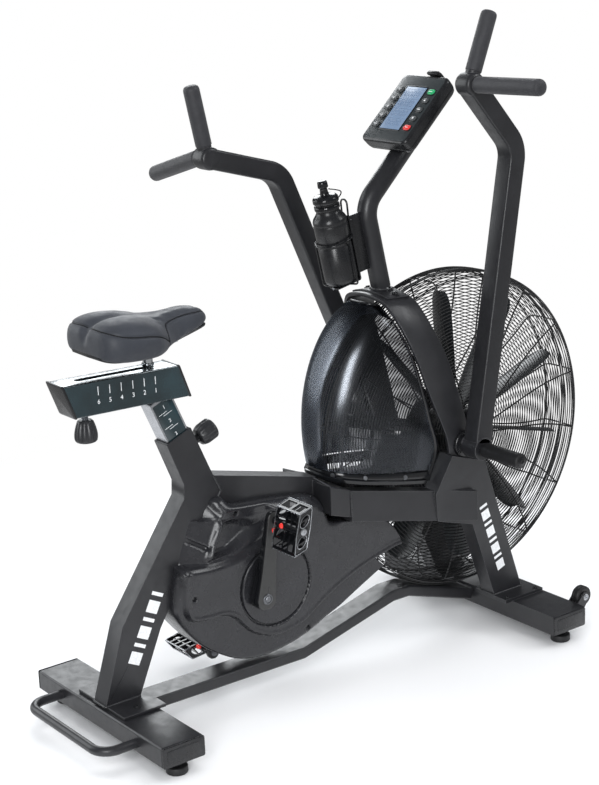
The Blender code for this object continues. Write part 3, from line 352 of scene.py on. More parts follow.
class Shell:
    """Gathers closed surfaces into one mesh; slot indexes the piece's materials."""

    def __init__(self):
        self.verts, self.faces, self.slots = [], [], []

    def add(self, verts, faces, slot=0):
        start = len(self.verts)
        self.verts.extend([tuple(p) for p in verts])
        self.faces.extend([tuple(i + start for i in face) for face in faces])
        self.slots.extend([slot] * len(faces))
        return self

    def loft(self, rings, closed=False, slot=0, caps=True):
        """Skins between rings of equal length."""
        n, count = len(rings[0]), len(rings)
        faces = []
        for i in range(count if closed else count - 1):
            a, b = i * n, ((i + 1) % count) * n
            for j in range(n):
                faces.append((a + j, a + (j + 1) % n, b + (j + 1) % n, b + j))
        if not closed and caps:
            faces.append(tuple(range(n - 1, -1, -1)))
            faces.append(tuple((count - 1) * n + j for j in range(n)))
        return self.add([p for ring in rings for p in ring], faces, slot)

    def lathe(self, centre, axis, profile, sides, closed=False, slot=0, flute=None, phase=0.0):
        """Turns (height, radius) pairs round the axis; flute(angle, height) varies the radius."""
        centre = Vector(centre)
        along, first, second = axes_round(axis)
        rings = []
        for height, radius in profile:
            ring = []
            for k in range(sides):
                t = phase + 2 * math.pi * k / sides
                local = radius * (1 + flute(t, height)) if flute else radius
                ring.append(centre + along * height
                            + (first * math.cos(t) + second * math.sin(t)) * local)
            rings.append(ring)
        return self.loft(rings, closed, slot)

    def tube(self, path, radius, sides, closed=False, radii=None):
        points = [Vector(p) for p in path]
        count = len(points)
        side = None
        rings = []
        for i, point in enumerate(points):
            if closed:
                heading = (points[(i + 1) % count] - points[i - 1]).normalized()
            else:
                heading = (points[min(i + 1, count - 1)] - points[max(i - 1, 0)]).normalized()
            if side is None:
                side = axes_round(heading)[1]
            side = (side - heading * side.dot(heading)).normalized()
            other = heading.cross(side)
            local = radii[i] if radii else radius
            rings.append([point + (side * c + other * s) * local for c, s in circle(sides)])
        return self.loft(rings, closed)

    def sweep(self, path, section):
        """Carries a section, kept square to X, along a path with mitred bends."""
        rings = []
        for i, point in enumerate(path):
            mitre = 1.0
            if i == 0:
                heading = (path[1] - point).normalized()
            elif i == len(path) - 1:
                heading = (point - path[i - 1]).normalized()
            else:
                arriving = (point - path[i - 1]).normalized()
                heading = (arriving + (path[i + 1] - point).normalized()).normalized()
                mitre = 1.0 / max(0.3, heading.dot(arriving))
            side = heading.cross(X_AXIS).normalized()
            across = side.cross(heading).normalized()
            rings.append([point + across * a + side * (b * mitre) for a, b in section])
        return self.loft(rings)

    def slab(self, plane, u_span, w_span, t_span, corner, edge, seg=3):
        """Box with rounded upright corners and a small edge radius."""
        origin, u_dir, w_dir, out = unit_plane(plane)
        u_mid, w_mid = (u_span[0] + u_span[1]) / 2, (w_span[0] + w_span[1]) / 2
        u_size, w_size = u_span[1] - u_span[0], w_span[1] - w_span[0]
        corner = min(corner, u_size * 0.49, w_size * 0.49)
        low, high = t_span
        rings = []
        for t, inset in ((low, edge), (low + edge * 0.3, edge * 0.3), (low + edge, 0),
                         (high - edge, 0), (high - edge * 0.3, edge * 0.3), (high, edge)):
            outline = rounded_rect(u_size - 2 * inset, w_size - 2 * inset,
                                   max(corner - inset, 0.0002), seg)
            rings.append([origin + u_dir * (u_mid + a) + w_dir * (w_mid + b) + out * t
                          for a, b in outline])
        return self.loft(rings)

    def bolt(self, centre, axis, radius, height, washer=True):
        """Socket-head bolt, on a washer unless told otherwise."""
        if washer:
            self.lathe(centre, axis, [(-0.0008, radius * 1.7), (0.0006, radius * 1.7),
                                      (0.001, radius * 1.6)], 20)
        shape = ((0, 1), (0.7, 1), (0.92, 0.9), (1, 0.76), (1, 0.52), (0.45, 0.48))
        return self.lathe(centre, axis, [(height * h, radius * r) for h, r in shape], 18)

    def weld(self, path, radius):
        """Rippled bead that thins toward its ends."""
        step, ripple = 0.0014, 0.0042
        points = [Vector(p) for p in path]
        lengths = [0.0]
        for i in range(1, len(points)):
            lengths.append(lengths[-1] + (points[i] - points[i - 1]).length)
        total = lengths[-1]
        count = max(4, int(total / step))
        bead, radii = [], []
        j = 0
        for i in range(count + 1):
            s = total * i / count
            while j < len(lengths) - 2 and lengths[j + 1] < s:
                j += 1
            t = (s - lengths[j]) / max(1e-9, lengths[j + 1] - lengths[j])
            bead.append(points[j].lerp(points[j + 1], t))
            taper = min(1.0, 0.35 + min(s, total - s) / (radius * 2))
            radii.append(radius * taper * (0.84 + 0.16 * abs(math.sin(s / ripple * math.pi))
                                           + weld_random.uniform(-0.04, 0.04)))
        return self.tube(bead, radius, 8, radii=radii)

    def text(self, plane, label, u, w, size):
        """A thin printed figure centred at (u, w)."""
        origin, u_dir, w_dir, out = unit_plane(plane)
        curve = bpy.data.curves.new('t', 'FONT')
        curve.body = label
        curve.size = size
        curve.align_x = 'CENTER'
        curve.align_y = 'CENTER'
        curve.extrude = 0.00008
        curve.resolution_u = 3
        ob = link_object('t', curve)
        bpy.context.view_layer.update()
        mesh = evaluated_mesh(ob)
        self.add([origin + u_dir * (u + v.co.x) + w_dir * (w + v.co.y) + out * v.co.z
                  for v in mesh.vertices], [tuple(p.vertices) for p in mesh.polygons])
        bpy.data.objects.remove(ob, do_unlink=True)
        bpy.data.curves.remove(curve)
        bpy.data.meshes.remove(mesh)
        return self

    def mesh(self, name, shift=(0.0, 0.0, 0.0)):
        mesh = bpy.data.meshes.new(name)
        mesh.from_pydata([(v[0] + shift[0], v[1] + shift[1], v[2] + shift[2])
                          for v in self.verts], [], self.faces)
        mesh.polygons.foreach_set('material_index', np.array(self.slots, np.int32))
        bm = bmesh.new()
        bm.from_mesh(mesh)
        bmesh.ops.recalc_face_normals(bm, faces=bm.faces)
        bm.to_mesh(mesh)
        bm.free()
        return mesh

    def build(self, name, mats, body, replaces=None, angle=38):
        return finish(name, self.mesh(name, SHIFT), mats, body, replaces, angle)


def link_object(name, data):
    ob = bpy.data.objects.new(name, data)
    bpy.context.scene.collection.objects.link(ob)
    return ob


def evaluated_mesh(ob):
    graph = bpy.context.evaluated_depsgraph_get()
    return bpy.data.meshes.new_from_object(ob.evaluated_get(graph))


def finish(name, mesh, mats, body, replaces=None, angle=38):
    mats = [mats] if isinstance(mats, str) else mats
    mesh.shade_smooth()
    mesh.set_sharp_from_angle(angle=math.radians(angle))
    ob = link_object(name, mesh)
    for mat in mats:
        mesh.materials.append(MAT[mat])
    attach(ob, body)
    if replaces:
        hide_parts(replaces)
    return ob


def cut(name, mesh, tool_mesh):
    """The mesh with the tool's volume taken away."""
    ob = link_object(name, mesh)
    tool = link_object(name + '_tool', tool_mesh)
    modifier = ob.modifiers.new('b', 'BOOLEAN')
    modifier.solver = 'EXACT'
    modifier.operation = 'DIFFERENCE'
    modifier.object = tool
    bpy.context.view_layer.update()
    result = evaluated_mesh(ob)
    for used in (ob, tool):
        bpy.data.objects.remove(used, do_unlink=True)
    result.materials.clear()
    return result


def keep_cad(node, mat, width=0.0, seg=3):
    """A CAD node that stays: new material, and its sharp edges rounded if a width is given."""
    ob = NODES[node]
    ob.data.materials.clear()
    ob.data.materials.append(MAT[mat])
    ob.data.shade_smooth()
    if not width:
        ob.data.set_sharp_from_angle(angle=math.radians(35))
        return
    weld = ob.modifiers.new('weld', 'WELD')
    weld.merge_threshold = 0.00002
    bevel = ob.modifiers.new('edge', 'BEVEL')
    bevel.width = width
    bevel.segments = seg
    bevel.limit_method = 'ANGLE'
    bevel.angle_limit = math.radians(32)
    bevel.use_clamp_overlap = True
    normals = ob.modifiers.new('normals', 'WEIGHTED_NORMAL')
    normals.mode = 'FACE_AREA'
    normals.weight = 60
    normals.keep_sharp = False


# =============================================================== frame
# CAD tubes and plates that stay: node, edge radius, bevel segments
KEPT_TUBES = [
    ('seat_upright', 0.0022, 3), ('top_tube', 0.0022, 3), ('fork_right', 0.0022, 3),
    ('fork_left', 0.0022, 3), ('rear_stabiliser', 0.0012, 2), ('front_stabiliser', 0.0012, 2),
    ('centre_beam', 0.001, 2), ('axle_plate_right', 0.0008, 2), ('axle_plate_left', 0.0008, 2)]
for node, width, seg in KEPT_TUBES:
    keep_cad(node, 'powder_black', width, seg)
keep_cad('crank_axle', 'steel')

# ---- rear handle: a U of round bar behind the rear stabiliser
HANDLE_HALF, HANDLE_Z = 0.1365, 0.0555
HANDLE_ROOT_Y, HANDLE_BACK_Y = -0.5003, -0.572
handle = [(-HANDLE_HALF, HANDLE_ROOT_Y, HANDLE_Z), (-HANDLE_HALF, HANDLE_BACK_Y, HANDLE_Z),
          (HANDLE_HALF, HANDLE_BACK_Y, HANDLE_Z), (HANDLE_HALF, HANDLE_ROOT_Y, HANDLE_Z)]
Shell().tube(fillet(handle, 0.034, 12), 0.0092, 24).build(
    'rear_handle_bar', 'powder_black', 'frame', 'rear_handle', angle=50)

# ---- end caps of the stabilisers
shell = Shell()
for _, sign in SIDES:
    for end_x, y in ((0.2236, REAR_BAR_Y), (0.2715, FRONT_BAR_Y)):
        plane = ((sign * end_x, y, BAR_Z), Y_AXIS, Z_AXIS, (sign, 0, 0))
        shell.slab(plane, (-0.0452, 0.0452), (-0.0201, 0.0201), (0.0002, 0.003),
                   corner=0.004, edge=0.0012)
        shell.slab(plane, (-0.036, 0.036), (-0.013, 0.013), (0.0026, 0.0036),
                   corner=0.003, edge=0.0006)
shell.build('stabiliser_end_caps', 'satin_black', 'frame')

# ---- weld beads
# right-hand beads, mirrored to the left: points, bead radius
SIDE_WELDS = [
    ([(0.0221, -0.225, 0.478), (0.0221, -0.2096, 0.444), (0.0221, -0.229, 0.414)], 0.0024),
    ([(0.1195, 0.244, 0.356), (0.1195, 0.251, 0.295)], 0.0022),
    ([(0.0795, 0.06, 0.393), (0.0805, 0.06, 0.338)], 0.0022),
    ([(0.0795, 0.011, 0.412), (0.022, 0.011, 0.418)], 0.002)]


def weld_round(shell, x0, x1, y0, y1):
    """A bead round the foot of a tube standing on a stabiliser."""
    path = fillet([(x0, y0, WELD_Z), (x1, y0, WELD_Z), (x1, y1, WELD_Z), (x0, y1, WELD_Z)],
                  0.003, 3, closed=True)
    shell.weld(path + path[:1], 0.0028)


shell = Shell()
weld_round(shell, -0.0225, 0.0225, -0.4935, -0.4165)
for _, sign in SIDES:
    inner, outer = (sign * (x - FORK_LEAN * 0.3372) for x in (0.09, 0.129))
    weld_round(shell, inner, outer, 0.4145, 0.4935)
    for points, radius in SIDE_WELDS:
        shell.weld([(sign * x, y, z) for x, y, z in points], radius)
shell.weld([(-0.0286, 0.4262, 0.069), (0.0286, 0.4262, 0.069)], 0.0024)
shell.weld([(-0.0286, -0.409, 0.0702), (0.0286, -0.409, 0.0702)], 0.0024)
shell.build('weld_beads', 'powder_weld', 'frame', angle=60)

# ---- fasteners on the frame, with the fan axle washers and nuts
shell = Shell()
for _, sign in SIDES:
    shell.bolt((sign * 0.06, -0.448, BAR_TOP), Z_AXIS, 0.0044, 0.003)
    for x in (0.14, 0.0655):
        for y in (0.424, 0.508):
            shell.bolt((sign * x, y, BAR_TOP), Z_AXIS, 0.0042, 0.003)
    shell.lathe(FAN_CENTRE + X_AXIS * (sign * 0.0848), (sign, 0, 0),
                [(0, 0.0165), (0.0014, 0.0165), (0.0018, 0.0155)], 28)
    shell.lathe(FAN_CENTRE + X_AXIS * (sign * 0.0866), (sign, 0, 0),
                [(0, 0.0128), (0.0055, 0.0128), (0.0066, 0.0112)], 6, phase=0.3)
shell.build('frame_fasteners', 'satin_black', 'frame')

Shell().lathe(FAN_CENTRE, X_AXIS, [(-0.0948, 0.0068), (-0.0938, 0.008), (0.0938, 0.008),
                                   (0.0948, 0.0068)], 28).build(
    'fan_axle_shaft', 'steel', 'frame', 'fan_axle')

# =============================================================== arch over the fork
# x, rear edge y z, front edge y z, from the right foot to the crown; mirrored to the left
ARCH = [
    (0.118, 0.288, 0.4268, 0.335, 0.4106), (0.118, 0.279, 0.47, 0.338, 0.47),
    (0.115, 0.243, 0.556, 0.315, 0.558), (0.1085, 0.218, 0.63, 0.293, 0.63),
    (0.097, 0.196, 0.688, 0.271, 0.685), (0.079, 0.182, 0.729, 0.258, 0.724),
    (0.058, 0.174, 0.752, 0.252, 0.747), (0.02, 0.17, 0.762, 0.25, 0.757)]
ARCH_THICK, ARCH_EDGE = 0.008, 0.0018


def arch_stations():
    """Rear point, front point, direction rear to front, and outward normal along the arch."""
    rows = spline(ARCH + [(-x, *edges) for x, *edges in reversed(ARCH)], 7)
    out = []
    for i, row in enumerate(rows):
        last, after = rows[max(0, i - 1)], rows[min(len(rows) - 1, i + 1)]
        run_x, run_z = after[0] - last[0], (after[2] + after[4] - last[2] - last[4]) / 2
        length = math.hypot(run_x, run_z)
        normal = vec(run_z / length, 0, -run_x / length)
        if normal.x * row[0] + normal.z * 0.3 < 0:
            normal = -normal
        rear, front = vec(*row[:3]), vec(row[0], *row[3:])
        out.append((rear, front, (front - rear).normalized(), normal))
    return out


stations = arch_stations()
rings = []
for rear, front, across, normal in stations:
    width, edge = (front - rear).length, ARCH_EDGE
    section = [(0.0, edge), (0.25 * edge, 0.25 * edge), (edge, 0)]
    section += [(width - u, t) for u, t in reversed(section)]
    section += [(u, ARCH_THICK - t) for u, t in reversed(section)]
    rings.append([rear + across * u - normal * t for u, t in section])
Shell().loft(rings).build('arch_plate', 'powder_black', 'frame', 'arch', angle=40)

# =============================================================== console mast
bend = fillet(MAST, 0.058, 16)
Shell().tube(bend[:-1] + [vec(0, 0.324, 1.078), vec(0, 0.325, 1.079)], 0.02, 32,
             radii=[0.02] * len(bend) + [0.0186]).build(
    'console_mast_tube', 'powder_black', 'frame', 'console_mast', angle=60)

# ---- foot plate following the crown of the arch, welded round the mast
FOOT_PLATE_HALF = 0.056
rings = []
for rear, front, across, normal in stations:
    if abs(rear.x) <= FOOT_PLATE_HALF:
        rings.append([rear + across * 0.013 - normal * 0.0006,
                      rear + across * 0.013 + normal * 0.0034,
                      rear + across * 0.0138 + normal * 0.0042,
                      front - across * 0.0088 + normal * 0.0042,
                      front - across * 0.008 + normal * 0.0034,
                      front - across * 0.008 - normal * 0.0006])
bead = [vec(0.0212 * c, 0.217 + 0.0216 * s, 0.7656 - 0.0016 * s) for c, s in circle(40)]
Shell().loft(rings).weld(bead + bead[:1], 0.003).build(
    'mast_foot_plate', 'powder_black', 'frame', angle=40)
shell = Shell()
for _, sign in SIDES:
    shell.bolt(vec(sign * 0.044, 0.218, 0.7601), vec(sign * 0.26, 0.06, 0.96), 0.0046, 0.0036)
shell.build('mast_foot_bolts', 'satin_black', 'frame')

# =============================================================== shield and its trim
# side z, side y, middle z, middle y, half width, from the foot up
SHIELD = [
    (0.415, 0.036, 0.375, 0.25, 0.098), (0.46, 0.028, 0.44, 0.27, 0.102),
    (0.51, 0.027, 0.5, 0.254, 0.104), (0.565, 0.034, 0.56, 0.238, 0.103),
    (0.62, 0.051, 0.62, 0.222, 0.098), (0.67, 0.078, 0.67, 0.205, 0.089),
    (0.71, 0.11, 0.708, 0.19, 0.074), (0.736, 0.138, 0.732, 0.18, 0.054),
    (0.75, 0.156, 0.744, 0.179, 0.033)]
# The edge rows stand at u = 0 in the superellipse below, the middle row at u = +-1.
SHIELD_ROWS = spline(SHIELD, 24)
ROUNDNESS = 2.6                                 # superellipse power of the plan
WINDOW_U, WINDOW_LOW, WINDOW_HIGH = 0.9905, 0.04, 0.965
WINDOW_THICK = 0.0022


def shield_point(u, v, inset=0.0):
    """Point on the shield: u in [-1, 1] round it, v in [0, 1] up it, moved in by inset."""
    t = min(max(v, 0.0), 1.0) * (len(SHIELD_ROWS) - 1)
    i = min(int(t), len(SHIELD_ROWS) - 2)
    k = t - i
    mid_z, mid_y, side_z, side_y, half = SHIELD_ROWS[i] * (1 - k) + SHIELD_ROWS[i + 1] * k
    angle = (1 - abs(u)) * math.pi / 2
    across = abs(math.cos(angle)) ** (2 / ROUNDNESS)
    along = abs(math.sin(angle)) ** (2 / ROUNDNESS)
    x = math.copysign((half - inset) * across, u) if abs(u) > 1e-9 else 0.0
    y = side_y - (side_y - mid_y - inset) * along
    z = side_z + (mid_z - side_z) * along - (inset * 0.7 if v > 0.85 else 0)
    return vec(x, y, z)


def even_u(t):
    """Even spacing round the curve: t in [-1, 1] to u."""
    return math.copysign(1 - (1 - abs(t)) ** 1.7, t) if abs(t) > 1e-9 else 0.0


def shield_window():
    """Clear sheet: outer and inner skins joined round their border."""
    cols, rows = 80, 40
    verts = [shield_point(WINDOW_U * even_u(-1 + 2 * i / cols),
                          WINDOW_LOW + (WINDOW_HIGH - WINDOW_LOW) * j / rows, inset)
             for inset in (0.0, WINDOW_THICK) for j in range(rows + 1) for i in range(cols + 1)]
    row, skin = cols + 1, (cols + 1) * (rows + 1)
    faces = []
    for j in range(rows):
        for i in range(cols):
            a = j * row + i
            b = skin + a
            faces.append((a, a + 1, a + row + 1, a + row))
            faces.append((b, b + row, b + row + 1, b + 1))
    for i in range(cols):
        a = rows * row + i
        faces.append((i, skin + i, skin + i + 1, i + 1))
        faces.append((a, a + 1, skin + a + 1, skin + a))
    for j in range(rows):
        a = j * row
        faces.append((a, a + row, skin + a + row, skin + a))
        a += cols
        faces.append((a, skin + a, skin + a + row, a + row))
    return Shell().add(verts, faces).build('shield_window', 'smoked_clear', 'frame', 'shield',
                                           angle=50)


def shield_frame():
    """Black border round the window, and the moulded strip along its foot."""
    inner_u, inner_low, inner_high = WINDOW_U + 0.0012, WINDOW_LOW - 0.006, WINDOW_HIGH + 0.005
    across, up = 64, 36
    border = [(even_u(-1 + 2 * k / across), 0.0) for k in range(across)]
    border += [(1.0, k / up) for k in range(up)]
    border += [(even_u(1 - 2 * k / across), 1.0) for k in range(across)]
    border += [(-1.0, 1 - k / up) for k in range(up)]
    # share of the way from the outer to the inner border, inset
    section = [(0, 0.0006), (0, -0.0006), (0.3, -0.0016), (0.5, -0.0016), (0.75, -0.001),
               (1, 0.0003), (1, 0.0042), (0, 0.0042)]
    rings = []
    for u, v in border:
        du, dv = u * inner_u - u, inner_low + (inner_high - inner_low) * v - v
        rings.append([shield_point(u + du * t, v + dv * t, inset) for t, inset in section])
    strip = []
    for k in range(61):
        u = -0.985 + 1.97 * k / 60
        root = shield_point(u, 0.0, -0.001)
        out = shield_point(u, 0.0, -0.0052) - shield_point(u, 0.0)
        # share of the outward reach, height
        strip.append([root + out * reach + Z_AXIS * rise for reach, rise in (
            (0, -0.005), (0.9, -0.0046), (1, 0.002), (0.5, 0.0036), (0, 0.004))])
    Shell().loft(rings, closed=True).loft(strip).build(
        'shield_frame', 'gloss_black', 'frame', 'shield_trim', angle=45)


def shield_screws():
    shell = Shell()
    v = 0.018
    for _, sign in SIDES:
        for u in (0.86, 0.55, 0.22):
            point = shield_point(sign * u, v)
            normal = (shield_point(sign * u, v, -0.01) - point).normalized()
            shell.bolt(point + normal * 0.0012, normal, 0.003, 0.0022)
    shell.build('shield_screws', 'zinc_dark', 'frame')


shield = shield_window()
shield_frame()
shield_screws()

# =============================================================== fan cage halves
# distance from the middle plane, radius: from the hub out to the split
CAGE_PROFILE = [(0.06, 0.052), (0.0588, 0.095), (0.0575, 0.14), (0.0551, 0.19), (0.052, 0.24),
                (0.0482, 0.285), (0.045, 0.318), (0.041, 0.33), (0.035, 0.3355),
                (0.024, 0.3366), (0.006, 0.3366)]
CAGE_PITCH = 0.007          # spacing of the hoops along the profile


def fan_hoop(x, radius, n):
    return [FAN_CENTRE + vec(x, radius * c, radius * s) for c, s in circle(n)]


def cage(side, sign):
    profile = [vec(x, r, 0) for x, r in CAGE_PROFILE]
    lengths = [0.0]
    for i in range(1, len(profile)):
        lengths.append(lengths[-1] + (profile[i] - profile[i - 1]).length)
    total = lengths[-1]

    def profile_at(distance):
        distance = min(max(distance, 0), total)
        for i in range(1, len(lengths)):
            if distance <= lengths[i] + 1e-12:
                t = (distance - lengths[i - 1]) / (lengths[i] - lengths[i - 1])
                return profile[i - 1].lerp(profile[i], t)
        return profile[-1]

    wires = Shell()
    for i in range(1, int(total / CAGE_PITCH)):
        p = profile_at(i * CAGE_PITCH)
        wires.tube(fan_hoop(sign * p.x, p.y, max(56, int(p.y * 430))), 0.00105, 5, closed=True)
    # thick rim hoops: at the shoulder and at the split
    for x, radius, wire in ((0.043, 0.3275, 0.0016), (0.0034, 0.3362, 0.0018)):
        wires.tube(fan_hoop(sign * x, radius, 160), wire, 8, closed=True)
    # radial ribs just inside the hoops
    ribs, steps, tuck = 16, 26, 0.0021
    for i in range(ribs):
        start = math.radians(12.0 + 22.5 * i)
        path = []
        for j in range(steps + 1):
            p = profile_at(total * j / steps)
            swing = 0.05 * math.sin(math.pi * min(1.0, j / (steps * 0.86)))
            angle = start + sign * swing
            radius = p.y - (tuck if j > steps * 0.82 else 0.0)
            x = p.x - (tuck if j <= steps * 0.86 else 0.0)
            path.append(FAN_CENTRE + vec(sign * x, radius * math.cos(angle),
                                         radius * math.sin(angle)))
        wires.tube(path, 0.0017, 7)
    wires.build('fan_cage_wires_' + side, 'wire_black', 'frame', 'fan_guard_' + side, angle=60)
    # hub disc with one raised ring and a turned-in rim
    Shell().lathe(FAN_CENTRE, (sign, 0, 0), [
        (0.0612, 0.0086), (0.0612, 0.024), (0.0626, 0.0262), (0.0626, 0.033), (0.0612, 0.035),
        (0.0612, 0.047), (0.0602, 0.053), (0.059, 0.0545), (0.0584, 0.053), (0.059, 0.046),
        (0.0592, 0.0086)], 56, closed=True).build('fan_cage_hub_' + side, 'satin_black', 'frame')


for side, sign in SIDES:
    cage(side, sign)

# =============================================================== fan wheel
BLADES, BLADE_TWIST = 10, math.radians(10)
# radius, half width
BLADE = [(0.046, 0.021), (0.06, 0.026), (0.09, 0.0325), (0.13, 0.0365), (0.18, 0.038),
         (0.23, 0.038), (0.258, 0.037), (0.272, 0.0352), (0.282, 0.0322), (0.29, 0.028),
         (0.2955, 0.0225), (0.299, 0.015)]


def blade_rings(degrees):
    angle = math.radians(degrees)
    radial = vec(0, math.cos(angle), math.sin(angle))
    tangent = vec(0, -math.sin(angle), math.cos(angle))
    chord = X_AXIS * math.cos(BLADE_TWIST) + tangent * math.sin(BLADE_TWIST)
    face = tangent * math.cos(BLADE_TWIST) - X_AXIS * math.sin(BLADE_TWIST)
    rings = []
    for radius, half in BLADE:
        upper, lower = [], []
        for j in range(13):
            q = -1 + 2 * j / 12
            camber = 0.007 * (1 - q * q) * min(1.0, (radius - 0.02) / 0.12)
            thick = 0.0011 * (1.0 if abs(q) < 0.9 else 0.55)
            centre = FAN_CENTRE + radial * radius + chord * (half * q) + face * camber
            upper.append(centre + face * thick)
            lower.append(centre - face * thick)
        rings.append(upper + lower[::-1])
    return rings


shell = Shell()
hub = [(0.033, 0.01), (0.033, 0.029), (0.031, 0.0315), (0.027, 0.049), (0.025, 0.0505)]
shell.lathe(FAN_CENTRE, X_AXIS, [(-x, r) for x, r in hub] + hub[::-1], 48, closed=True)
for k in range(BLADES):
    shell.loft(blade_rings(-14.0 + 360 / BLADES * k))
shell.build('fan_wheel_blades', 'blade_grey', 'fan', 'fan_wheel', angle=40)


# =============================================================== arm pivots and foot pegs
def pivot(side, sign):
    root = ARM_PIVOT + X_AXIS * (sign * 0.1183)
    out = (sign, 0, 0)
    Shell().lathe(root, out, [
        (0.0, 0.0266), (0.0006, 0.027), (0.007, 0.027), (0.008, 0.0262), (0.0084, 0.0205),
        (0.0092, 0.019), (0.0168, 0.019), (0.0175, 0.0182), (0.0176, 0.011), (0.065, 0.011)],
        44).build('pivot_bearing_' + side, 'satin_black', 'frame', 'pivot_' + side)

    def knurl(angle, height):
        return 0.006 * math.cos(36 * angle) if 0.0745 < height < 0.156 else 0.0

    rows = 22
    profile = [(0.0656, 0.012), (0.066, 0.015), (0.0672, 0.0155)]
    profile += [(0.074 + 0.082 * i / rows, 0.0152) for i in range(rows + 1)]
    profile += [(0.164, 0.0155), (0.1672, 0.0152), (0.1692, 0.0142), (0.17, 0.0128)]
    Shell().lathe(root, out, profile, 72, flute=knurl).build(
        'foot_peg_' + side, 'rubber', 'frame', angle=55)
    # end disc and screw of the peg, three bolts and a collar on the bearing
    shell = Shell()
    shell.lathe(root, out, [(0.1696, 0.0098), (0.1704, 0.0098), (0.1708, 0.0092)], 28)
    shell.lathe(root, out, [(0.1702, 0.006), (0.1722, 0.006), (0.1727, 0.005),
                            (0.1727, 0.0034), (0.1712, 0.0031)], 20)
    for k in range(3):
        angle = math.radians(100 + 120 * k)
        shell.bolt(root + vec(sign * 0.0078, 0.0228 * math.cos(angle), 0.0228 * math.sin(angle)),
                   out, 0.003, 0.0024)
    shell.lathe(root, out, [(0.0168, 0.0165), (0.018, 0.0165), (0.0184, 0.0155)], 28)
    shell.build('pivot_hardware_' + side, 'satin_black', 'frame')


for side, sign in SIDES:
    pivot(side, sign)

# =============================================================== arms and grips
ARM_LENGTH, ARM_HEAD, ARM_BEND = 0.606, 0.172, 50.6    # pivot to bend, bend to knuckle, degrees
GRIP = 0.016
GRIP_RADII = (0.0128, 0.015, 0.0159, GRIP, GRIP + 0.0001, GRIP, 0.0155, 0.0141, 0.0115, 0.007)
UPPER_GRIP = (0.0245, 0.025, 0.0262, 0.03, 0.08, 0.134, 0.138, 0.141, 0.1432, 0.1445)
SIDE_GRIP = (0.0, 0.0006, 0.002, 0.006, 0.08, 0.164, 0.1675, 0.1702, 0.1722, 0.1735)
KNUCKLE = [(-0.0214, 0.012), (-0.021, 0.0165), (-0.0196, 0.02), (-0.0165, 0.0222),
           (-0.012, 0.0228), (0.012, 0.0228), (0.0165, 0.0222), (0.0196, 0.02), (0.021, 0.0165),
           (0.0214, 0.012)]


def arm(side, sign, degrees, rise):
    """Lever at an angle from vertical; rise is the side grip's slope along its outward run."""
    body = 'arm_' + side
    foot = ARM_PIVOT + X_AXIS * (sign * 0.158)
    bend = foot + tilt(degrees) * ARM_LENGTH
    knuckle = bend + tilt(degrees - ARM_BEND) * ARM_HEAD
    path = fillet([foot + tilt(degrees) * 0.013, bend, knuckle], 0.06, 14)
    path[1:1] = [path[0].lerp(path[1], k / 6) for k in range(1, 6)]
    lever = Shell().sweep(path, rounded_rect(0.042, 0.04, 0.0052, 4))
    # pivot sleeve with a real bore
    lever.lathe(foot, X_AXIS, [(-0.021, 0.0117), (-0.021, 0.0222), (-0.0202, 0.023),
                               (0.0202, 0.023), (0.021, 0.0222), (0.021, 0.0117)], 44,
                closed=True)
    # knuckle and the stubs the grips spring from
    lever.lathe(knuckle, X_AXIS, KNUCKLE, 40)
    upper_dir = tilt(degrees + 12.0)
    lever.lathe(knuckle + upper_dir * 0.01, upper_dir,
                [(0.0, 0.014), (0.01, 0.0146), (0.0146, 0.0146)], 32)
    side_dir = vec(sign, 0, rise).normalized()
    extra = abs(rise) * 0.0175          # a steeper grip needs a longer stub
    lever.lathe(knuckle + X_AXIS * (sign * 0.012), side_dir,
                [(0.0, 0.014), (0.009 + extra, 0.0146)], 32)
    # weld beads round the upper half of the sleeve
    for face in (1, -1):
        bead = []
        for k in range(17):
            angle = math.radians(-80 + 160 * k / 16)
            spoke = tilt(degrees) * math.cos(angle) + tilt(degrees + 90) * math.sin(angle)
            bead.append(foot + X_AXIS * (face * 0.0212) + spoke * 0.0232)
        lever.weld(bead, 0.0016)
    lever.build('arm_lever_' + side, 'powder_black', body, 'arm_' + side, angle=40)
    side_root = knuckle + X_AXIS * (sign * 0.0215) + side_dir * (0.0003 + extra)
    for kind, root, axis, heights in (('upper', knuckle, upper_dir, UPPER_GRIP),
                                      ('side', side_root, side_dir, SIDE_GRIP)):
        Shell().lathe(root, axis, list(zip(heights, GRIP_RADII)), 44).build(
            '%s_grip_foam_%s' % (kind, side), 'foam', body, '%s_grip_%s' % (kind, side),
            angle=60)


arm('right', 1, degrees=10.0, rise=0.03)
arm('left', -1, degrees=-23.4, rise=-0.29)


# =============================================================== chain case halves
def resample(points, step, closed=True):
    """Even steps along a polyline of (y, z) points."""
    points = np.array(points, float)
    if closed:
        points = np.vstack([points, points[:1]])
    lengths = np.linalg.norm(np.diff(points, axis=0), axis=1)
    lengths = np.concatenate([[0], np.cumsum(lengths)])
    count = max(3, int(round(lengths[-1] / step)))
    s = np.linspace(0, lengths[-1], count + 1)
    out = np.column_stack([np.interp(s, lengths, points[:, 0]),
                           np.interp(s, lengths, points[:, 1])])
    return out[:-1] if closed else out


def line_distance(points, line, closed):
    """Distance from each point to a polyline, and the side (positive to the line's left)."""
    starts = np.array(line, float)
    ends = np.roll(starts, -1, axis=0) if closed else starts[1:]
    starts = starts if closed else starts[:-1]
    best = np.full(len(points), 1e9)
    side = np.zeros(len(points))
    for a, run in zip(starts, ends - starts):
        t = np.clip(((points - a) @ run) / (run @ run + 1e-18), 0, 1)
        gap = points - (a + t[:, None] * run)
        dist = np.hypot(gap[:, 0], gap[:, 1])
        near = dist < best - 1e-9
        best[near] = dist[near]
        side[near] = np.sign(run[0] * (points[near, 1] - a[1]) - run[1] * (points[near, 0] - a[0]))
    return best, side


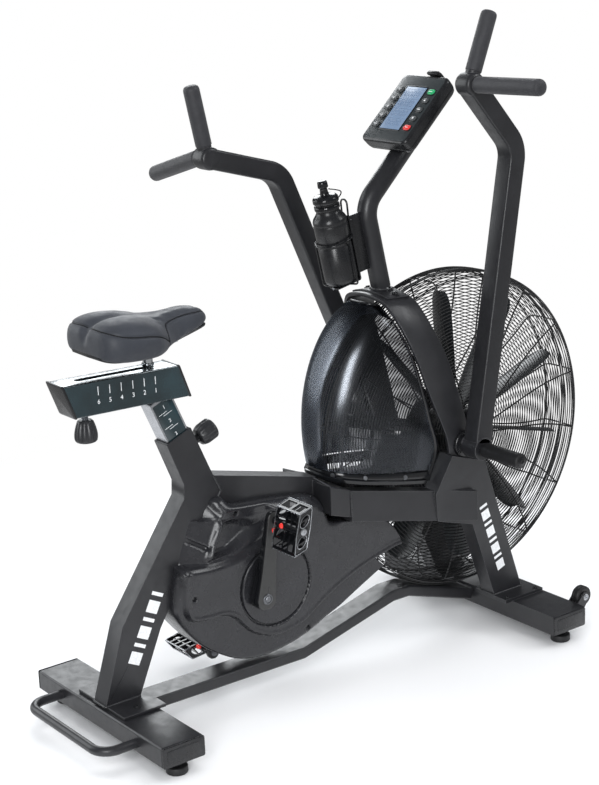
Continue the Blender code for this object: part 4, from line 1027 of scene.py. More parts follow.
def inside(points, outline):
    x, y = points[:, 0], points[:, 1]
    P = np.array(outline, float)
    result = np.zeros(len(points), bool)
    j = len(P) - 1
    for i in range(len(P)):
        result ^= ((P[i, 1] > y) != (P[j, 1] > y)) & (
            x < (P[j, 0] - P[i, 0]) * (y - P[i, 1]) / (P[j, 1] - P[i, 1] + 1e-15) + P[i, 0])
        j = i
    return result


def depth_inside(points, outline):
    """Distance to a closed outline, negative outside it."""
    dist, _ = line_distance(points, outline, True)
    return np.where(inside(points, outline), dist, -dist)


def smooth(x):
    x = np.clip(x, 0, 1)
    return x * x * (3 - 2 * x)


def within(dist, reach, blend):
    """1 up to the reach, easing to 0 over the blend."""
    return 1 - smooth((dist - reach) / blend)


# All case lines are (y, z) points seen from the side.
OUTLINE = resample(spline([
    (-0.298, 0.413), (-0.256, 0.427), (-0.215, 0.435), (-0.192, 0.416), (-0.095, 0.405),
    (0.0, 0.386), (0.026, 0.332), (0.06, 0.323), (0.09, 0.3185), (0.118, 0.317), (0.15, 0.308),
    (0.182, 0.286), (0.203, 0.256), (0.212, 0.226), (0.2, 0.205), (0.158, 0.19),
    (0.071, 0.149), (0.02, 0.123), (-0.035, 0.1), (-0.09, 0.088), (-0.142, 0.085),
    (-0.19, 0.093), (-0.232, 0.113), (-0.285, 0.152), (-0.335, 0.217), (-0.338, 0.26),
    (-0.325, 0.32)], 6, closed=True), 0.003)
# step down to the lower border, and the raised face above it
STEP = [tuple(p) for p in spline([
    (-0.322, 0.3), (-0.3235, 0.272), (-0.321, 0.236), (-0.312, 0.215), (-0.293, 0.2075),
    (-0.264, 0.205), (-0.235, 0.204), (-0.21, 0.192), (-0.19, 0.17), (-0.171, 0.151),
    (-0.138, 0.134), (-0.101, 0.128), (-0.053, 0.136), (-0.02, 0.154), (0.017, 0.176),
    (0.06, 0.196), (0.11, 0.214), (0.15, 0.224), (0.19, 0.233)], 5)]
RAISED = STEP + [(0.4, 0.24), (0.4, 0.6), (-0.5, 0.6), (-0.5, 0.33), (-0.33, 0.318)]
# upper edge of the drum, and the lower deck above it
RIDGE = [tuple(p) for p in spline([
    (-0.36, 0.322), (-0.303, 0.3195), (-0.257, 0.315), (-0.213, 0.317), (-0.173, 0.3225),
    (-0.143, 0.331), (-0.118, 0.344), (-0.106, 0.362)], 5)]
DECK = RIDGE + [(-0.104, 0.372), (-0.128, 0.39), (-0.196, 0.395), (-0.228, 0.395),
                (-0.26, 0.47), (-0.4, 0.47)]
HOLLOW = resample(spline([
    (-0.223, 0.386), (-0.24, 0.352), (-0.254, 0.32), (-0.213, 0.3195), (-0.172, 0.326),
    (-0.138, 0.337), (-0.118, 0.356), (-0.122, 0.382), (-0.155, 0.388), (-0.19, 0.39)],
    5, closed=True), 0.004)
TOP_CHAMFER = [(-0.235, 0.396), (-0.196, 0.393), (-0.133, 0.3895), (-0.047, 0.379),
               (0.015, 0.362), (0.042, 0.348)]
FACET = [(-0.266, 0.305), (-0.248, 0.348), (-0.23, 0.388), (-0.218, 0.44)]
RING_CENTRE, RING_RADIUS = np.array((-0.114, 0.235)), 0.082
SCREW_HOLES = [(-0.303, 0.256), (-0.193, 0.399), (-0.007, 0.386), (-0.03, 0.116)]
SLOT_REAR, SLOT_FRONT = np.array((-0.296, 0.365)), np.array((-0.26, 0.343))
CASE_TOP, CASE_MIN = 0.056, 0.012       # greatest and least half thickness
SHOULDER_OFFSETS = [0.0006, 0.0016, 0.003, 0.005, 0.0078, 0.0115]


def case_height(points):
    """Half thickness of the case (its outer |x|) over (y, z) points."""
    y, z = points[:, 0], points[:, 1]
    h = np.full(len(points), CASE_TOP)
    # raised face above the step, with a shallow trough inside its edge
    raised = depth_inside(points, RAISED)
    h -= 0.0135 * within(raised, -0.005, 0.0085)
    h -= 0.0016 * np.exp(-((raised - 0.0125) / 0.004) ** 2) * (raised > 0)
    # top chamfer
    dist, side = line_distance(points, TOP_CHAMFER, False)
    above = np.where(side > 0, dist, 0.0)
    h -= 0.62 * np.maximum(above - 0.001, 0) * smooth(above / 0.006) * within(y, 0.006, 0.02)
    # the drum's upper edge rolls over to a lower deck
    deck = depth_inside(points, DECK)
    h -= 0.0115 * smooth((deck + 0.015) / 0.0165)
    # facet leaning back toward the upright, with a crest along its front edge
    dist, side = line_distance(points, FACET, False)
    h -= 0.42 * np.where((side > 0) & (deck > -0.002), dist, 0.0)
    crest = np.where(deck > 0.002, np.exp(-(dist / 0.006) ** 2), 0.0)
    h += 0.0075 * crest * smooth(deck / 0.012)
    # hollow scooped out beside the facet, deepest at its lower rear
    hollow = depth_inside(points, HOLLOW)
    wall = 0.0085 + 0.03 * smooth((y + 0.225) / 0.085)
    h -= np.where(hollow > 0, 0.02 * smooth(hollow / wall), 0.0) * (
        1 - 0.35 * smooth((y + 0.2) / 0.08))
    # ring groove with a slight lip outside it
    dist = np.hypot(y - RING_CENTRE[0], z - RING_CENTRE[1])
    h -= 0.0062 * within(np.abs(dist - RING_RADIUS), 0.0015, 0.001)
    h += 0.0008 * np.exp(-((dist - RING_RADIUS - 0.0045) / 0.0022) ** 2)
    for hole in SCREW_HOLES:
        h -= 0.0062 * within(np.hypot(y - hole[0], z - hole[1]), 0.004, 0.0012)
    # short slanted slot
    run = SLOT_FRONT - SLOT_REAR
    t = np.clip(((points - SLOT_REAR) @ run) / (run @ run), 0, 1)
    dist = np.linalg.norm(points - (SLOT_REAR + t[:, None] * run), axis=1)
    h -= 0.007 * within(dist, 0.0026, 0.001)
    # rounded shoulder along the outline, tighter where the fan cage sits behind it
    rim = np.clip(depth_inside(points, OUTLINE), 0, 1)
    radius = 0.012 - 0.01 * smooth((y - 0.01) / 0.05)
    drop = radius - np.sqrt(np.maximum(radius * radius - (radius - rim) ** 2, 0))
    h -= np.where(rim < radius, drop, 0)
    return np.maximum(h, CASE_MIN)


def offset_rows(line, offsets, step, closed):
    """Rows of points beside a line, one row per offset to its left."""
    points = resample(line, step, closed)
    if closed:
        run = np.roll(points, -1, axis=0) - np.roll(points, 1, axis=0)
    else:
        run = np.gradient(points, axis=0)
    run /= np.linalg.norm(run, axis=1)[:, None] + 1e-12
    normal = np.column_stack([-run[:, 1], run[:, 0]])
    return [points + normal * offset for offset in offsets]


def circle_rows(centre, radii, n):
    a = np.arange(n) * 2 * math.pi / n
    return [np.column_stack([centre[0] + r * np.cos(a), centre[1] + r * np.sin(a)])
            for r in radii]


def feature_points():
    """Extra mesh points where the case's surface turns quickly."""
    rows = offset_rows(STEP, [-0.008, -0.006, -0.0045, -0.003, -0.0015, 0.0, 0.0015, 0.003,
                              0.005, 0.007, 0.0095], 0.003, False)
    rows += offset_rows(RIDGE, [-0.016, -0.013, -0.01, -0.007, -0.004, -0.001, 0.002, 0.004],
                        0.0035, False)
    rows += offset_rows(TOP_CHAMFER, [-0.002, 0.0, 0.002, 0.0045, 0.008], 0.0035, False)
    rows += offset_rows(FACET, [-0.0015, 0.0015], 0.003, False)
    rows += offset_rows(HOLLOW, [-0.001, 0.0004, 0.0015, 0.003, 0.006, 0.01, -0.0004, -0.003],
                        0.0028, True)
    rows += circle_rows(RING_CENTRE, [RING_RADIUS + r for r in (
        -0.006, -0.004, -0.0022, -0.0016, -0.001, 0.0, 0.001, 0.0016, 0.0022, 0.0045, 0.007)],
        240)
    for hole in SCREW_HOLES:
        rows += circle_rows(hole, (0.0015, 0.003, 0.0037, 0.0042, 0.0048, 0.006), 24)
    length = np.linalg.norm(SLOT_FRONT - SLOT_REAR)
    run = (SLOT_FRONT - SLOT_REAR) / length
    normal = np.array((-run[1], run[0]))
    for r in (0.0008, 0.0022, 0.0027, 0.0032, 0.0036, 0.005):
        loop = []
        for s in np.arange(0, length, 0.0016):
            loop.append(SLOT_REAR + run * s + normal * r)
            loop.append(SLOT_REAR + run * s - normal * r)
        for a in np.linspace(-math.pi / 2, math.pi / 2, 9):
            loop.append(SLOT_FRONT + (run * math.cos(a) + normal * math.sin(a)) * r)
            loop.append(SLOT_REAR - (run * math.cos(a) + normal * math.sin(a)) * r)
        rows.append(np.array(loop))
    return np.vstack(rows)


def shoulder_points():
    """Rows just inside the outline, where its shoulder rounds over."""
    run = np.roll(OUTLINE, -1, axis=0) - np.roll(OUTLINE, 1, axis=0)
    run /= np.linalg.norm(run, axis=1)[:, None]
    area = np.sum(OUTLINE[:, 0] * np.roll(OUTLINE[:, 1], -1)
                  - np.roll(OUTLINE[:, 0], -1) * OUTLINE[:, 1])
    inward = np.column_stack([-run[:, 1], run[:, 0]]) * (1 if area > 0 else -1)
    points = np.vstack([OUTLINE + inward * offset for offset in SHOULDER_OFFSETS])
    least = np.repeat(SHOULDER_OFFSETS, len(OUTLINE)) * 0.8
    return points[depth_inside(points, OUTLINE) > least]


def case_points():
    """All points of the case's face, the outline first."""
    shoulder = shoulder_points()
    feature = feature_points()
    feature = feature[depth_inside(feature, OUTLINE) > 0.013]
    grid = 0.004
    ys, zs = np.meshgrid(np.arange(-0.345, 0.22, grid), np.arange(0.08, 0.44, grid * 0.866))
    ys[::2] += grid / 2
    base = np.column_stack([ys.ravel(), zs.ravel()])
    base = base[depth_inside(base, OUTLINE) > 0.015]
    tree = kdtree.KDTree(len(feature))
    for i, p in enumerate(feature):
        tree.insert((p[0], p[1], 0), i)
    tree.balance()
    base = np.array([p for p in base if tree.find((p[0], p[1], 0))[2] > 0.0026])
    # thin out points that fall on each other
    cell = 0.00045
    seen, kept = set(), []
    for group in (feature, shoulder, base):
        for p in group:
            key = (int(p[0] / cell), int(p[1] / cell))
            if not any((key[0] + a, key[1] + b) in seen for a in (-1, 0, 1) for b in (-1, 0, 1)):
                seen.add(key)
                kept.append(p)
    return np.vstack([OUTLINE, np.array(kept)])


def border_loop(faces):
    """The vertices round the open border of a set of faces, in order."""
    uses = {}
    for face in faces:
        for i in range(len(face)):
            a, b = face[i], face[(i + 1) % len(face)]
            key = (min(a, b), max(a, b))
            uses[key] = uses.get(key, 0) + 1
    border = [key for key, count in uses.items() if count == 1]
    beside = {}
    for a, b in border:
        beside.setdefault(a, []).append(b)
        beside.setdefault(b, []).append(a)
    start = border[0][0]
    loop, last, here = [start], None, start
    while True:
        onward = [q for q in beside[here] if q != last]
        last, here = here, onward[0]
        if here == start or len(loop) > len(border) + 2:
            return loop
        loop.append(here)


def case_half():
    """The right half: a relief face, side walls and a flat back, hollowed for the fan cage."""
    n = len(OUTLINE)
    flat = [Vector((float(p[0]), float(p[1]))) for p in case_points()]
    result = delaunay_2d_cdt(flat, [(i, (i + 1) % n) for i in range(n)], [], 1, 1e-6)
    points, faces = np.array([tuple(v) for v in result[0]]), result[2]
    centres = np.array([points[list(face)].mean(0) for face in faces])
    faces = [face for face, ok in zip(faces, inside(centres, OUTLINE)) if ok]
    h = case_height(points)
    loop = border_loop(faces)
    used = sorted({i for face in faces for i in face})
    renumber = {old: new for new, old in enumerate(used)}
    verts = [(h[i], points[i, 0], points[i, 1]) for i in used]
    faces = [tuple(renumber[i] for i in face) for face in faces]
    mid, count = len(verts), len(loop)
    back = mid + count
    verts += [(h[i] * 0.5, points[i, 0], points[i, 1]) for i in loop]
    verts += [(0.0003, points[i, 0], points[i, 1]) for i in loop]
    for j in range(count):
        k = (j + 1) % count
        faces.append((renumber[loop[j]], renumber[loop[k]], mid + k, mid + j))
        faces.append((mid + j, mid + k, back + k, back + j))
    faces.append(tuple(back + j for j in range(count)))
    # room for the fan cage, dished like the cage itself
    dish = [(0.064, 0.05), (0.0615, 0.142), (0.0555, 0.242), (0.048, 0.324), (0.0365, 0.339)]
    room = Shell().lathe(FAN_CENTRE, X_AXIS, [(-x, r) for x, r in dish] + dish[::-1], 120)
    return cut('case', Shell().add(verts, faces).mesh('case'), room.mesh('cut'))


RIGHT_CASE = case_half()


def case_piece(side, sign):
    mesh = RIGHT_CASE.copy()
    mesh.name = 'chain_case_shell_' + side
    if sign < 0:
        mesh.transform(Matrix.Diagonal((-1, 1, 1, 1)))
        mesh.flip_normals()
    mesh.transform(Matrix.Translation(SHIFT))
    finish('chain_case_shell_' + side, mesh, 'case_plastic', 'frame', 'chain_case_' + side,
           angle=62)
    screws = Shell()
    for (y, z), height in zip(SCREW_HOLES, case_height(np.array(SCREW_HOLES, float))):
        screws.lathe((sign * (height + 0.0002), y, z), (sign, 0, 0), [
            (-0.001, 0.0034), (0.0012, 0.0034), (0.002, 0.0026), (0.0022, 0.0014),
            (0.0012, 0.0012)], 18)
    screws.build('chain_case_screws_' + side, 'satin_black', 'frame')


for side, sign in SIDES:
    case_piece(side, sign)

# =============================================================== cranks
CRANK_CENTRE = vec(0, -0.158, 0.226)
CRANK_LENGTH = 0.16
CRANK_ANGLE = 7.5           # degrees the right arm leans forward from straight up
# distance along the arm, half width, inner x, outer x
CRANK = [
    (-0.0215, 0.01, 0.06, 0.086), (-0.019, 0.015, 0.0582, 0.0868),
    (-0.014, 0.019, 0.0575, 0.0873), (-0.007, 0.0211, 0.0575, 0.0875),
    (0.0, 0.0215, 0.0575, 0.0876), (0.012, 0.0209, 0.0578, 0.0878),
    (0.03, 0.0192, 0.0596, 0.0881), (0.055, 0.0172, 0.064, 0.0885),
    (0.085, 0.0158, 0.069, 0.089), (0.115, 0.0149, 0.073, 0.0897),
    (0.14, 0.0145, 0.076, 0.0905), (0.16, 0.014, 0.0776, 0.091),
    (0.167, 0.0126, 0.078, 0.0908), (0.1715, 0.01, 0.0784, 0.0905),
    (0.1745, 0.0055, 0.0792, 0.09)]


def crank(side, sign):
    """Builds a crank arm and returns the point of its pedal axis on the middle plane."""
    along = tilt(CRANK_ANGLE) * sign
    across = tilt(CRANK_ANGLE + 90)
    out = vec(sign, 0, 0)
    rings = []
    for distance, half, inner, outer in spline(CRANK, 4):
        centre = CRANK_CENTRE + along * distance + out * ((inner + outer) / 2)
        thick = outer - inner
        outline = rounded_rect(2 * half, thick, min(0.0042, half * 0.45, thick * 0.3), 4)
        rings.append([centre + across * a + out * b for a, b in outline])
    ob = Shell().loft(rings).build('crank_arm_' + side, ['gloss_black', 'cast_grey'], 'crank',
                                   'crank_' + side, angle=40)
    # the outer face is grey
    for face in ob.data.polygons:
        if face.normal.x * sign > 0.75:
            face.material_index = 1
    pedal_axis = CRANK_CENTRE + along * CRANK_LENGTH
    face = CRANK_CENTRE + out * 0.0876
    shell = Shell()
    shell.lathe(face, out, [(-0.002, 0.0108), (0.0012, 0.0108), (0.002, 0.0098),
                            (0.002, 0.0078), (0.0006, 0.0074)], 36)
    shell.lathe(face, out, [(0.0, 0.0066), (0.0022, 0.0066), (0.003, 0.0056)], 6, phase=0.4)
    shell.lathe(pedal_axis + out * 0.077, -out,
                [(-0.001, 0.0085), (0.0006, 0.0085), (0.0014, 0.007)], 28)
    shell.build('crank_bolt_' + side, 'zinc_dark', 'crank')
    # pinch slot beside the bolt, toward the pedal
    Shell().slab((face, across, along, out), (-0.0006, 0.0006), (0.0135, 0.0255),
                 (-0.0004, 0.00045), corner=0.0005, edge=0.0001).build(
        'crank_pinch_mark_' + side, 'gloss_black', 'crank')
    return pedal_axis


# =============================================================== pedals
PEDAL_IN, PEDAL_OUT = 0.1128, 0.1832        # x of the cage's two sides
PEDAL_SHEAR, PEDAL_SQUEEZE = 0.577, 0.928   # the cage leans as it rises, and is shorter


def rect(y0, y1, z0, z1):
    return [(y0, z0), (y1, z0), (y1, z1), (y0, z1)]


def pedal(side, sign, axis_point, degrees):
    body = 'pedal_' + side
    turn = math.radians(degrees)
    long_dir = vec(0, math.cos(turn), math.sin(turn))
    thick_dir = vec(0, -math.sin(turn), math.cos(turn))
    out = vec(sign, 0, 0)

    def square(x, y, z):
        return axis_point + out * x + long_dir * y + thick_dir * z

    def sheared(x, y, z):
        return square(x, y * PEDAL_SQUEEZE - PEDAL_SHEAR * z, z)

    shell = Shell()

    def block(x_span, section):
        shell.loft([[sheared(x, y, z) for y, z in section] for x in x_span])

    # spindle boss and centre barrel
    shell.lathe(axis_point, out, [(0.0945, 0.006), (0.095, 0.0085), (0.11, 0.0085),
                                  (0.1108, 0.0105), (0.1835, 0.0112), (0.184, 0.0098)], 28)
    # x span and z span of the bars of each end plate
    plate = [(PEDAL_IN, 0.1168, -0.0126, 0.0126), (0.1792, PEDAL_OUT, -0.0126, 0.0126),
             (0.1168, 0.1792, -0.0126, -0.009), (0.1168, 0.1792, 0.009, 0.0126),
             (0.1455, 0.1505, -0.009, 0.009)]
    for end in (-1, 1):
        # tread ribs, then the inner web and the end plate
        for x in (0.14, 0.156, 0.172):
            block((x - 0.0018, x + 0.0018), [(end * 0.009, -0.0095), (end * 0.04, -0.011),
                                             (end * 0.04, 0.011), (end * 0.009, 0.0095)])
        block((0.113, 0.183), rect(end * 0.024 - 0.0016, end * 0.024 + 0.0016, -0.009, 0.009))
        for x0, x1, z0, z1 in plate:
            block((x0, x1), rect(end * 0.0411, end * 0.0439, z0, z1))
    # side webs, pierced by two windows each
    for x0, x1 in ((PEDAL_IN, 0.1152), (0.1808, PEDAL_OUT)):
        for end in (-1, 1):
            rings = []
            for c, s in circle(28):
                reach = 1.0 / max(abs(c), abs(s))
                y_in, z_in = end * (0.0215 + 0.012 * c), 0.0092 * s
                y_out = end * (0.0215 + 0.0215 * c * reach)
                z_out = (0.0128 + 0.0022 * (1 - abs(c * reach))) * s * reach
                rings.append([sheared(x0, y_in, z_in), sheared(x0, y_out, z_out),
                              sheared(x1, y_out, z_out), sheared(x1, y_in, z_in)])
            shell.loft(rings, closed=True)
    shell.build('pedal_body_' + side, 'gloss_black', body, 'pedal_' + side)

    # bright edges: cage frames with teeth, window rims and side outlines
    shell = Shell()
    for end in (-1, 1):
        loop = [sheared(x, end * 0.044, z) for x, z in rect(0.1122, 0.1838, -0.0134, 0.0134)]
        shell.tube(fillet(loop, 0.0024, 4, closed=True), 0.00095, 8, closed=True)
        for x in np.linspace(0.119, 0.177, 7):
            for face in (-1, 1):
                shell.lathe(sheared(float(x), end * 0.043, face * 0.014), thick_dir * face,
                            [(-0.001, 0.0011), (0.0008, 0.0009), (0.0014, 0.0003)], 6)
    for x in (0.1124, 0.1836):
        for end in (-1, 1):
            shell.tube([sheared(x, end * 0.0215 + 0.0126 * c, 0.0098 * s)
                        for c, s in circle(36)], 0.0007, 7, closed=True)
        outline = [(-0.0435, -0.013), (0.0, -0.015), (0.0435, -0.013), (0.0435, 0.013),
                   (0.0, 0.015), (-0.0435, 0.013)]
        shell.tube(fillet([sheared(x, y, z) for y, z in outline], 0.003, 4, closed=True),
                   0.0009, 7, closed=True)
    shell.lathe(square(0.1835, 0, 0), out, [(0.0, 0.0068), (0.0012, 0.0068), (0.0018, 0.0056),
                                            (0.0018, 0.003), (0.0008, 0.0026)], 24)
    shell.build('pedal_cage_' + side, 'steel', body, angle=50)
    shell = Shell()
    for x, y in ((0.1085, -0.0165), (0.1285, -0.002)):
        shell.lathe(square(x, y, 0.0095), thick_dir, [
            (-0.003, 0.005), (-0.0005, 0.0056), (0.0014, 0.0055), (0.0032, 0.0045),
            (0.0042, 0.0028), (0.0045, 0.0008)], 22)
    shell.build('pedal_reflectors_' + side, 'reflector_red', body)


for (side, sign), degrees in zip(SIDES, (78.0, 8.0)):
    pedal(side, sign, crank(side, sign), degrees)

# =============================================================== seat post and rail
POST_UP, POST_ACROSS = vec(0, -0.393, 0.9195), vec(0, 0.9195, 0.393)
POST_CENTRE = vec(0, -0.2965, 0.5705)
keep_cad('seat_post', 'steel', 0.0014)
shell = Shell()
for _, sign in SIDES:
    shell.slab((POST_CENTRE, POST_ACROSS, POST_UP, (sign, 0, 0)), (-0.0215, 0.0215),
               (-0.084, 0.079), (0.018, 0.01815), corner=0.001, edge=0.00005)
shell.build('seat_post_labels', 'label_teal', 'seat_frame')

# ---- height scale: a figure with two short lines under it at each step
POST_MARKS = (0.066, 0.036, 0.006, -0.024, -0.054)
shell = Shell()
for _, sign in SIDES:
    axes = (POST_ACROSS * sign, POST_UP, (sign, 0, 0))
    for w in POST_MARKS:
        for u_span, below in (((-0.017, 0.002), 0.0102), ((-0.008, 0.012), 0.0152)):
            shell.slab((POST_CENTRE, *axes), u_span, (w - below, w - below + 0.0008),
                       (0.0181, 0.01823), corner=0.0002, edge=0.00002)
    for k, w in enumerate(POST_MARKS):
        shell.text((POST_CENTRE + X_AXIS * (sign * 0.01818), *axes), str(k + 1), 0.0, w, 0.01)
shell.build('seat_post_scale', 'print_white', 'seat_frame')

# ---- rail: a bright channel with an open slot along its top
# (y, z) corners of its side view
RAIL_LOW_REAR, RAIL_LOW_FRONT = (-0.51, 0.65), (-0.271, 0.644)
RAIL_TOP_REAR, RAIL_TOP_FRONT = (-0.533, 0.713), (-0.293, 0.707)
RAIL_HALF, RAIL_HEIGHT = 0.028, 0.063
RAIL_ORIGIN = vec(0, *RAIL_TOP_REAR)
RAIL_DIR = (vec(0, *RAIL_TOP_FRONT) - RAIL_ORIGIN).normalized()
RAIL_PLANE = (RAIL_ORIGIN, X_AXIS, RAIL_DIR, vec(0, -RAIL_DIR.z, RAIL_DIR.y))


def mix2(a, b, t):
    return (a[0] + (b[0] - a[0]) * t, a[1] + (b[1] - a[1]) * t)


def rail_ring(t, corner, grow=0.0):
    """Section of the rail at t from its rear end (0) to its front end (1)."""
    low = mix2(RAIL_LOW_REAR, RAIL_LOW_FRONT, t)
    top = mix2(RAIL_TOP_REAR, RAIL_TOP_FRONT, t)
    outline = rounded_rect(2 * RAIL_HALF + 2 * grow, RAIL_HEIGHT + 2 * grow, corner, 4)
    return [vec(a, *mix2(low, top, (b + 0.0315) / RAIL_HEIGHT)) for a, b in outline]


def seat_rail():
    channel = Shell().loft([rail_ring(t, 0.0028) for t in (0.0, 1.0)])
    slot = Shell().slab(RAIL_PLANE, (-0.0085, 0.0085), (0.038, 0.205), (-0.014, 0.01),
                        corner=0.0078, edge=0.0002, seg=5)
    mesh = cut('rail', channel.mesh('rail'), slot.mesh('slot'))
    mesh.transform(Matrix.Translation(SHIFT))
    finish('seat_rail_channel', mesh, 'plate_steel', 'seat_frame', 'seat_rail', angle=32)


def seat_rail_labels():
    outline = [mix2(RAIL_LOW_REAR, RAIL_TOP_REAR, 0.03), mix2(RAIL_LOW_FRONT, RAIL_TOP_FRONT, 0.03),
               mix2(RAIL_LOW_FRONT, RAIL_TOP_FRONT, 0.972),
               mix2(RAIL_LOW_REAR, RAIL_TOP_REAR, 0.972)]
    shell = Shell()
    for _, sign in SIDES:
        shell.loft([[vec(sign * x, y, z) for y, z in outline] for x in (0.0279, 0.0284)])
    shell.build('seat_rail_labels', 'label_teal', 'seat_frame')


def seat_rail_scale():
    marks = [-0.464, -0.44, -0.416, -0.3915, -0.3675, -0.3435]
    shell = Shell()
    for _, sign in SIDES:
        for y in marks:
            run = y - marks[0]
            top, low = 0.701 - run * 0.036, 0.685 - run * 0.03
            half = (top - low) / 2
            shell.slab(((sign * 0.0283, y, (top + low) / 2), Y_AXIS, Z_AXIS, (sign, 0, 0)),
                       (-0.00065, 0.00065), (-half, half), (0.0, 0.00022),
                       corner=0.0003, edge=0.00003)
        plane = ((sign * 0.0285, 0, 0), (0, sign, 0), Z_AXIS, (sign, 0, 0))
        for k, y in enumerate(marks):
            shell.text(plane, str(6 - k), sign * y, 0.6725 - (y - marks[0]) * 0.022, 0.012)
    shell.build('seat_rail_scale', 'print_white', 'seat_frame')


def seat_rail_plugs():
    """Black plugs on both ends, and the dark floor of the slot."""
    shell = Shell()
    for t, way in ((0.0, -1), (1.0, 1)):
        rings = []
        for reach, grow in ((0.0, 0.0004), (0.001, 0.0012), (0.004, 0.0012), (0.005, 0.0),
                            (0.0056, -0.002)):
            push = RAIL_DIR * (way * (reach - 0.0006))
            rings.append([p + push for p in rail_ring(t, 0.003, grow)])
        shell.loft(rings)
    shell.slab(RAIL_PLANE, (-0.0084, 0.0084), (0.0381, 0.2049), (-0.0138, -0.012),
               corner=0.0077, edge=0.0002, seg=5)
    shell.build('seat_rail_end_plugs', 'satin_black', 'seat_frame')


seat_rail()
seat_rail_labels()
seat_rail_scale()
seat_rail_plugs()

# ---- saddle clamp: short bright post and plate
Shell().lathe((0, -0.34, 0.7098), Z_AXIS, [
    (0.0006, 0.0105), (0.002, 0.0115), (0.006, 0.0115), (0.0075, 0.0095), (0.035, 0.0095),
    (0.036, 0.012), (0.04, 0.012)], 28).slab(
    ((0, 0, 0.7402), X_AXIS, Y_AXIS, Z_AXIS), (-0.019, 0.019), (-0.43, -0.325), (0.0, 0.0036),
    corner=0.004, edge=0.0008).build('saddle_clamp', 'chrome', 'saddle', 'saddle_carriage')
shell = Shell()
for x in (-0.012, 0.012):
    shell.tube(spline([(x, -0.448, 0.752), (x, -0.43, 0.747), (x, -0.38, 0.745),
                       (x, -0.32, 0.746), (x * 0.8, -0.28, 0.75)], 6), 0.0034, 10)
shell.build('saddle_rails', 'steel', 'saddle')

# =============================================================== saddle
# y, half width, bottom z, top z, from the rear to the nose
SADDLE = [
    (-0.471, 0.056, 0.756, 0.798), (-0.465, 0.074, 0.75, 0.808), (-0.447, 0.088, 0.745, 0.815),
    (-0.419, 0.0925, 0.7425, 0.8165), (-0.387, 0.0925, 0.741, 0.814),
    (-0.359, 0.087, 0.741, 0.809), (-0.335, 0.07, 0.743, 0.805), (-0.313, 0.052, 0.748, 0.8045),
    (-0.286, 0.041, 0.754, 0.8055), (-0.252, 0.035, 0.761, 0.8065),
    (-0.226, 0.029, 0.767, 0.802), (-0.212, 0.018, 0.773, 0.789)]
# section over the top: share of the half width, share of the height
SADDLE_SECTION = [
    (-0.84, 0.02), (-0.97, 0.14), (-1.01, 0.36), (-0.99, 0.6), (-0.9, 0.8), (-0.7, 0.95),
    (-0.36, 1.0), (0.0, 0.975), (0.36, 1.0), (0.7, 0.95), (0.9, 0.8), (0.99, 0.6),
    (1.01, 0.36), (0.97, 0.14), (0.84, 0.02)]
# right-hand seam lines, mirrored to the left
REAR_SEAM = [(0.006, -0.456, 0.803), (0.03, -0.46, 0.803), (0.058, -0.456, 0.801),
             (0.079, -0.44, 0.797), (0.089, -0.414, 0.7935), (0.089, -0.385, 0.79),
             (0.084, -0.36, 0.785), (0.074, -0.338, 0.776), (0.064, -0.324, 0.766)]
NOSE_SEAM = [(0.056, -0.33, 0.756), (0.0545, -0.329, 0.774), (0.044, -0.323, 0.792),
             (0.033, -0.305, 0.7985), (0.0275, -0.275, 0.8), (0.024, -0.245, 0.799),
             (0.012, -0.22, 0.795)]


def saddle_blank():
    """Plain pad, slightly undersized so that it can be inflated."""
    section = spline(SADDLE_SECTION, 3)
    rings = []
    for y, half, low, top in spline(SADDLE, 5):
        half = max(half - 0.003, 0.006)
        top = top - 0.003
        y = -0.345 + (y + 0.345) * 0.985
        rings.append([vec(a * half, y, low + 0.001 + b * (top - low)) for a, b in section])
    return link_object('saddle_pad', Shell().loft(rings).mesh('saddle', SHIFT))


def bake(ob):
    """Turns the modifiers into plain mesh."""
    bpy.context.view_layer.update()
    mesh = evaluated_mesh(ob)
    ob.modifiers.clear()
    old = ob.data
    ob.data = mesh
    bpy.data.meshes.remove(old)


def read_points(mesh):
    flat = np.empty(len(mesh.vertices) * 3)
    mesh.vertices.foreach_get('co', flat)
    return flat.reshape(-1, 3)


def write_points(mesh, points):
    mesh.vertices.foreach_set('co', points.ravel())
    mesh.update()


def blow_up(ob, pressure, cap, frames):
    """Cloth under pressure, pinned along its base; no point moves further than cap."""
    rest = read_points(ob.data)
    pins = ob.vertex_groups.new(name='pin')
    low = rest[:, 2].min() + 0.008
    pins.add([int(i) for i in np.where(rest[:, 2] < low)[0]], 1.0, 'REPLACE')
    cloth = ob.modifiers.new('c', 'CLOTH')
    settings = cloth.settings
    settings.vertex_group_mass = 'pin'
    settings.use_pressure = True
    settings.uniform_pressure_force = pressure
    settings.effector_weights.gravity = 0.0
    settings.mass = 0.25
    settings.tension_stiffness = 25
    settings.compression_stiffness = 25
    settings.bending_stiffness = 0.8
    cloth.point_cache.frame_start = 1
    cloth.point_cache.frame_end = frames
    scene = bpy.context.scene
    for frame in range(1, frames + 1):
        scene.frame_set(frame)
    blown = read_points(ob.evaluated_get(bpy.context.evaluated_depsgraph_get()).data)
    ob.modifiers.clear()
    ob.vertex_groups.clear()
    move = blown - rest
    share = np.minimum(1.0, cap / np.maximum(np.linalg.norm(move, axis=1), 1e-9))
    write_points(ob.data, rest + move * share[:, None])
    scene.frame_set(1)


def inflated_pad():
    ob = saddle_blank()
    remesh = ob.modifiers.new('r', 'REMESH')
    remesh.mode = 'VOXEL'
    remesh.voxel_size = 0.005
    bake(ob)
    relax = ob.modifiers.new('s', 'SMOOTH')
    relax.factor = 0.5
    relax.iterations = 4
    bake(ob)
    blow_up(ob, pressure=4.0, cap=0.0045, frames=20)
    divide = ob.modifiers.new('d', 'SUBSURF')
    divide.levels = 1
    divide.render_levels = 1
    bake(ob)
    return ob


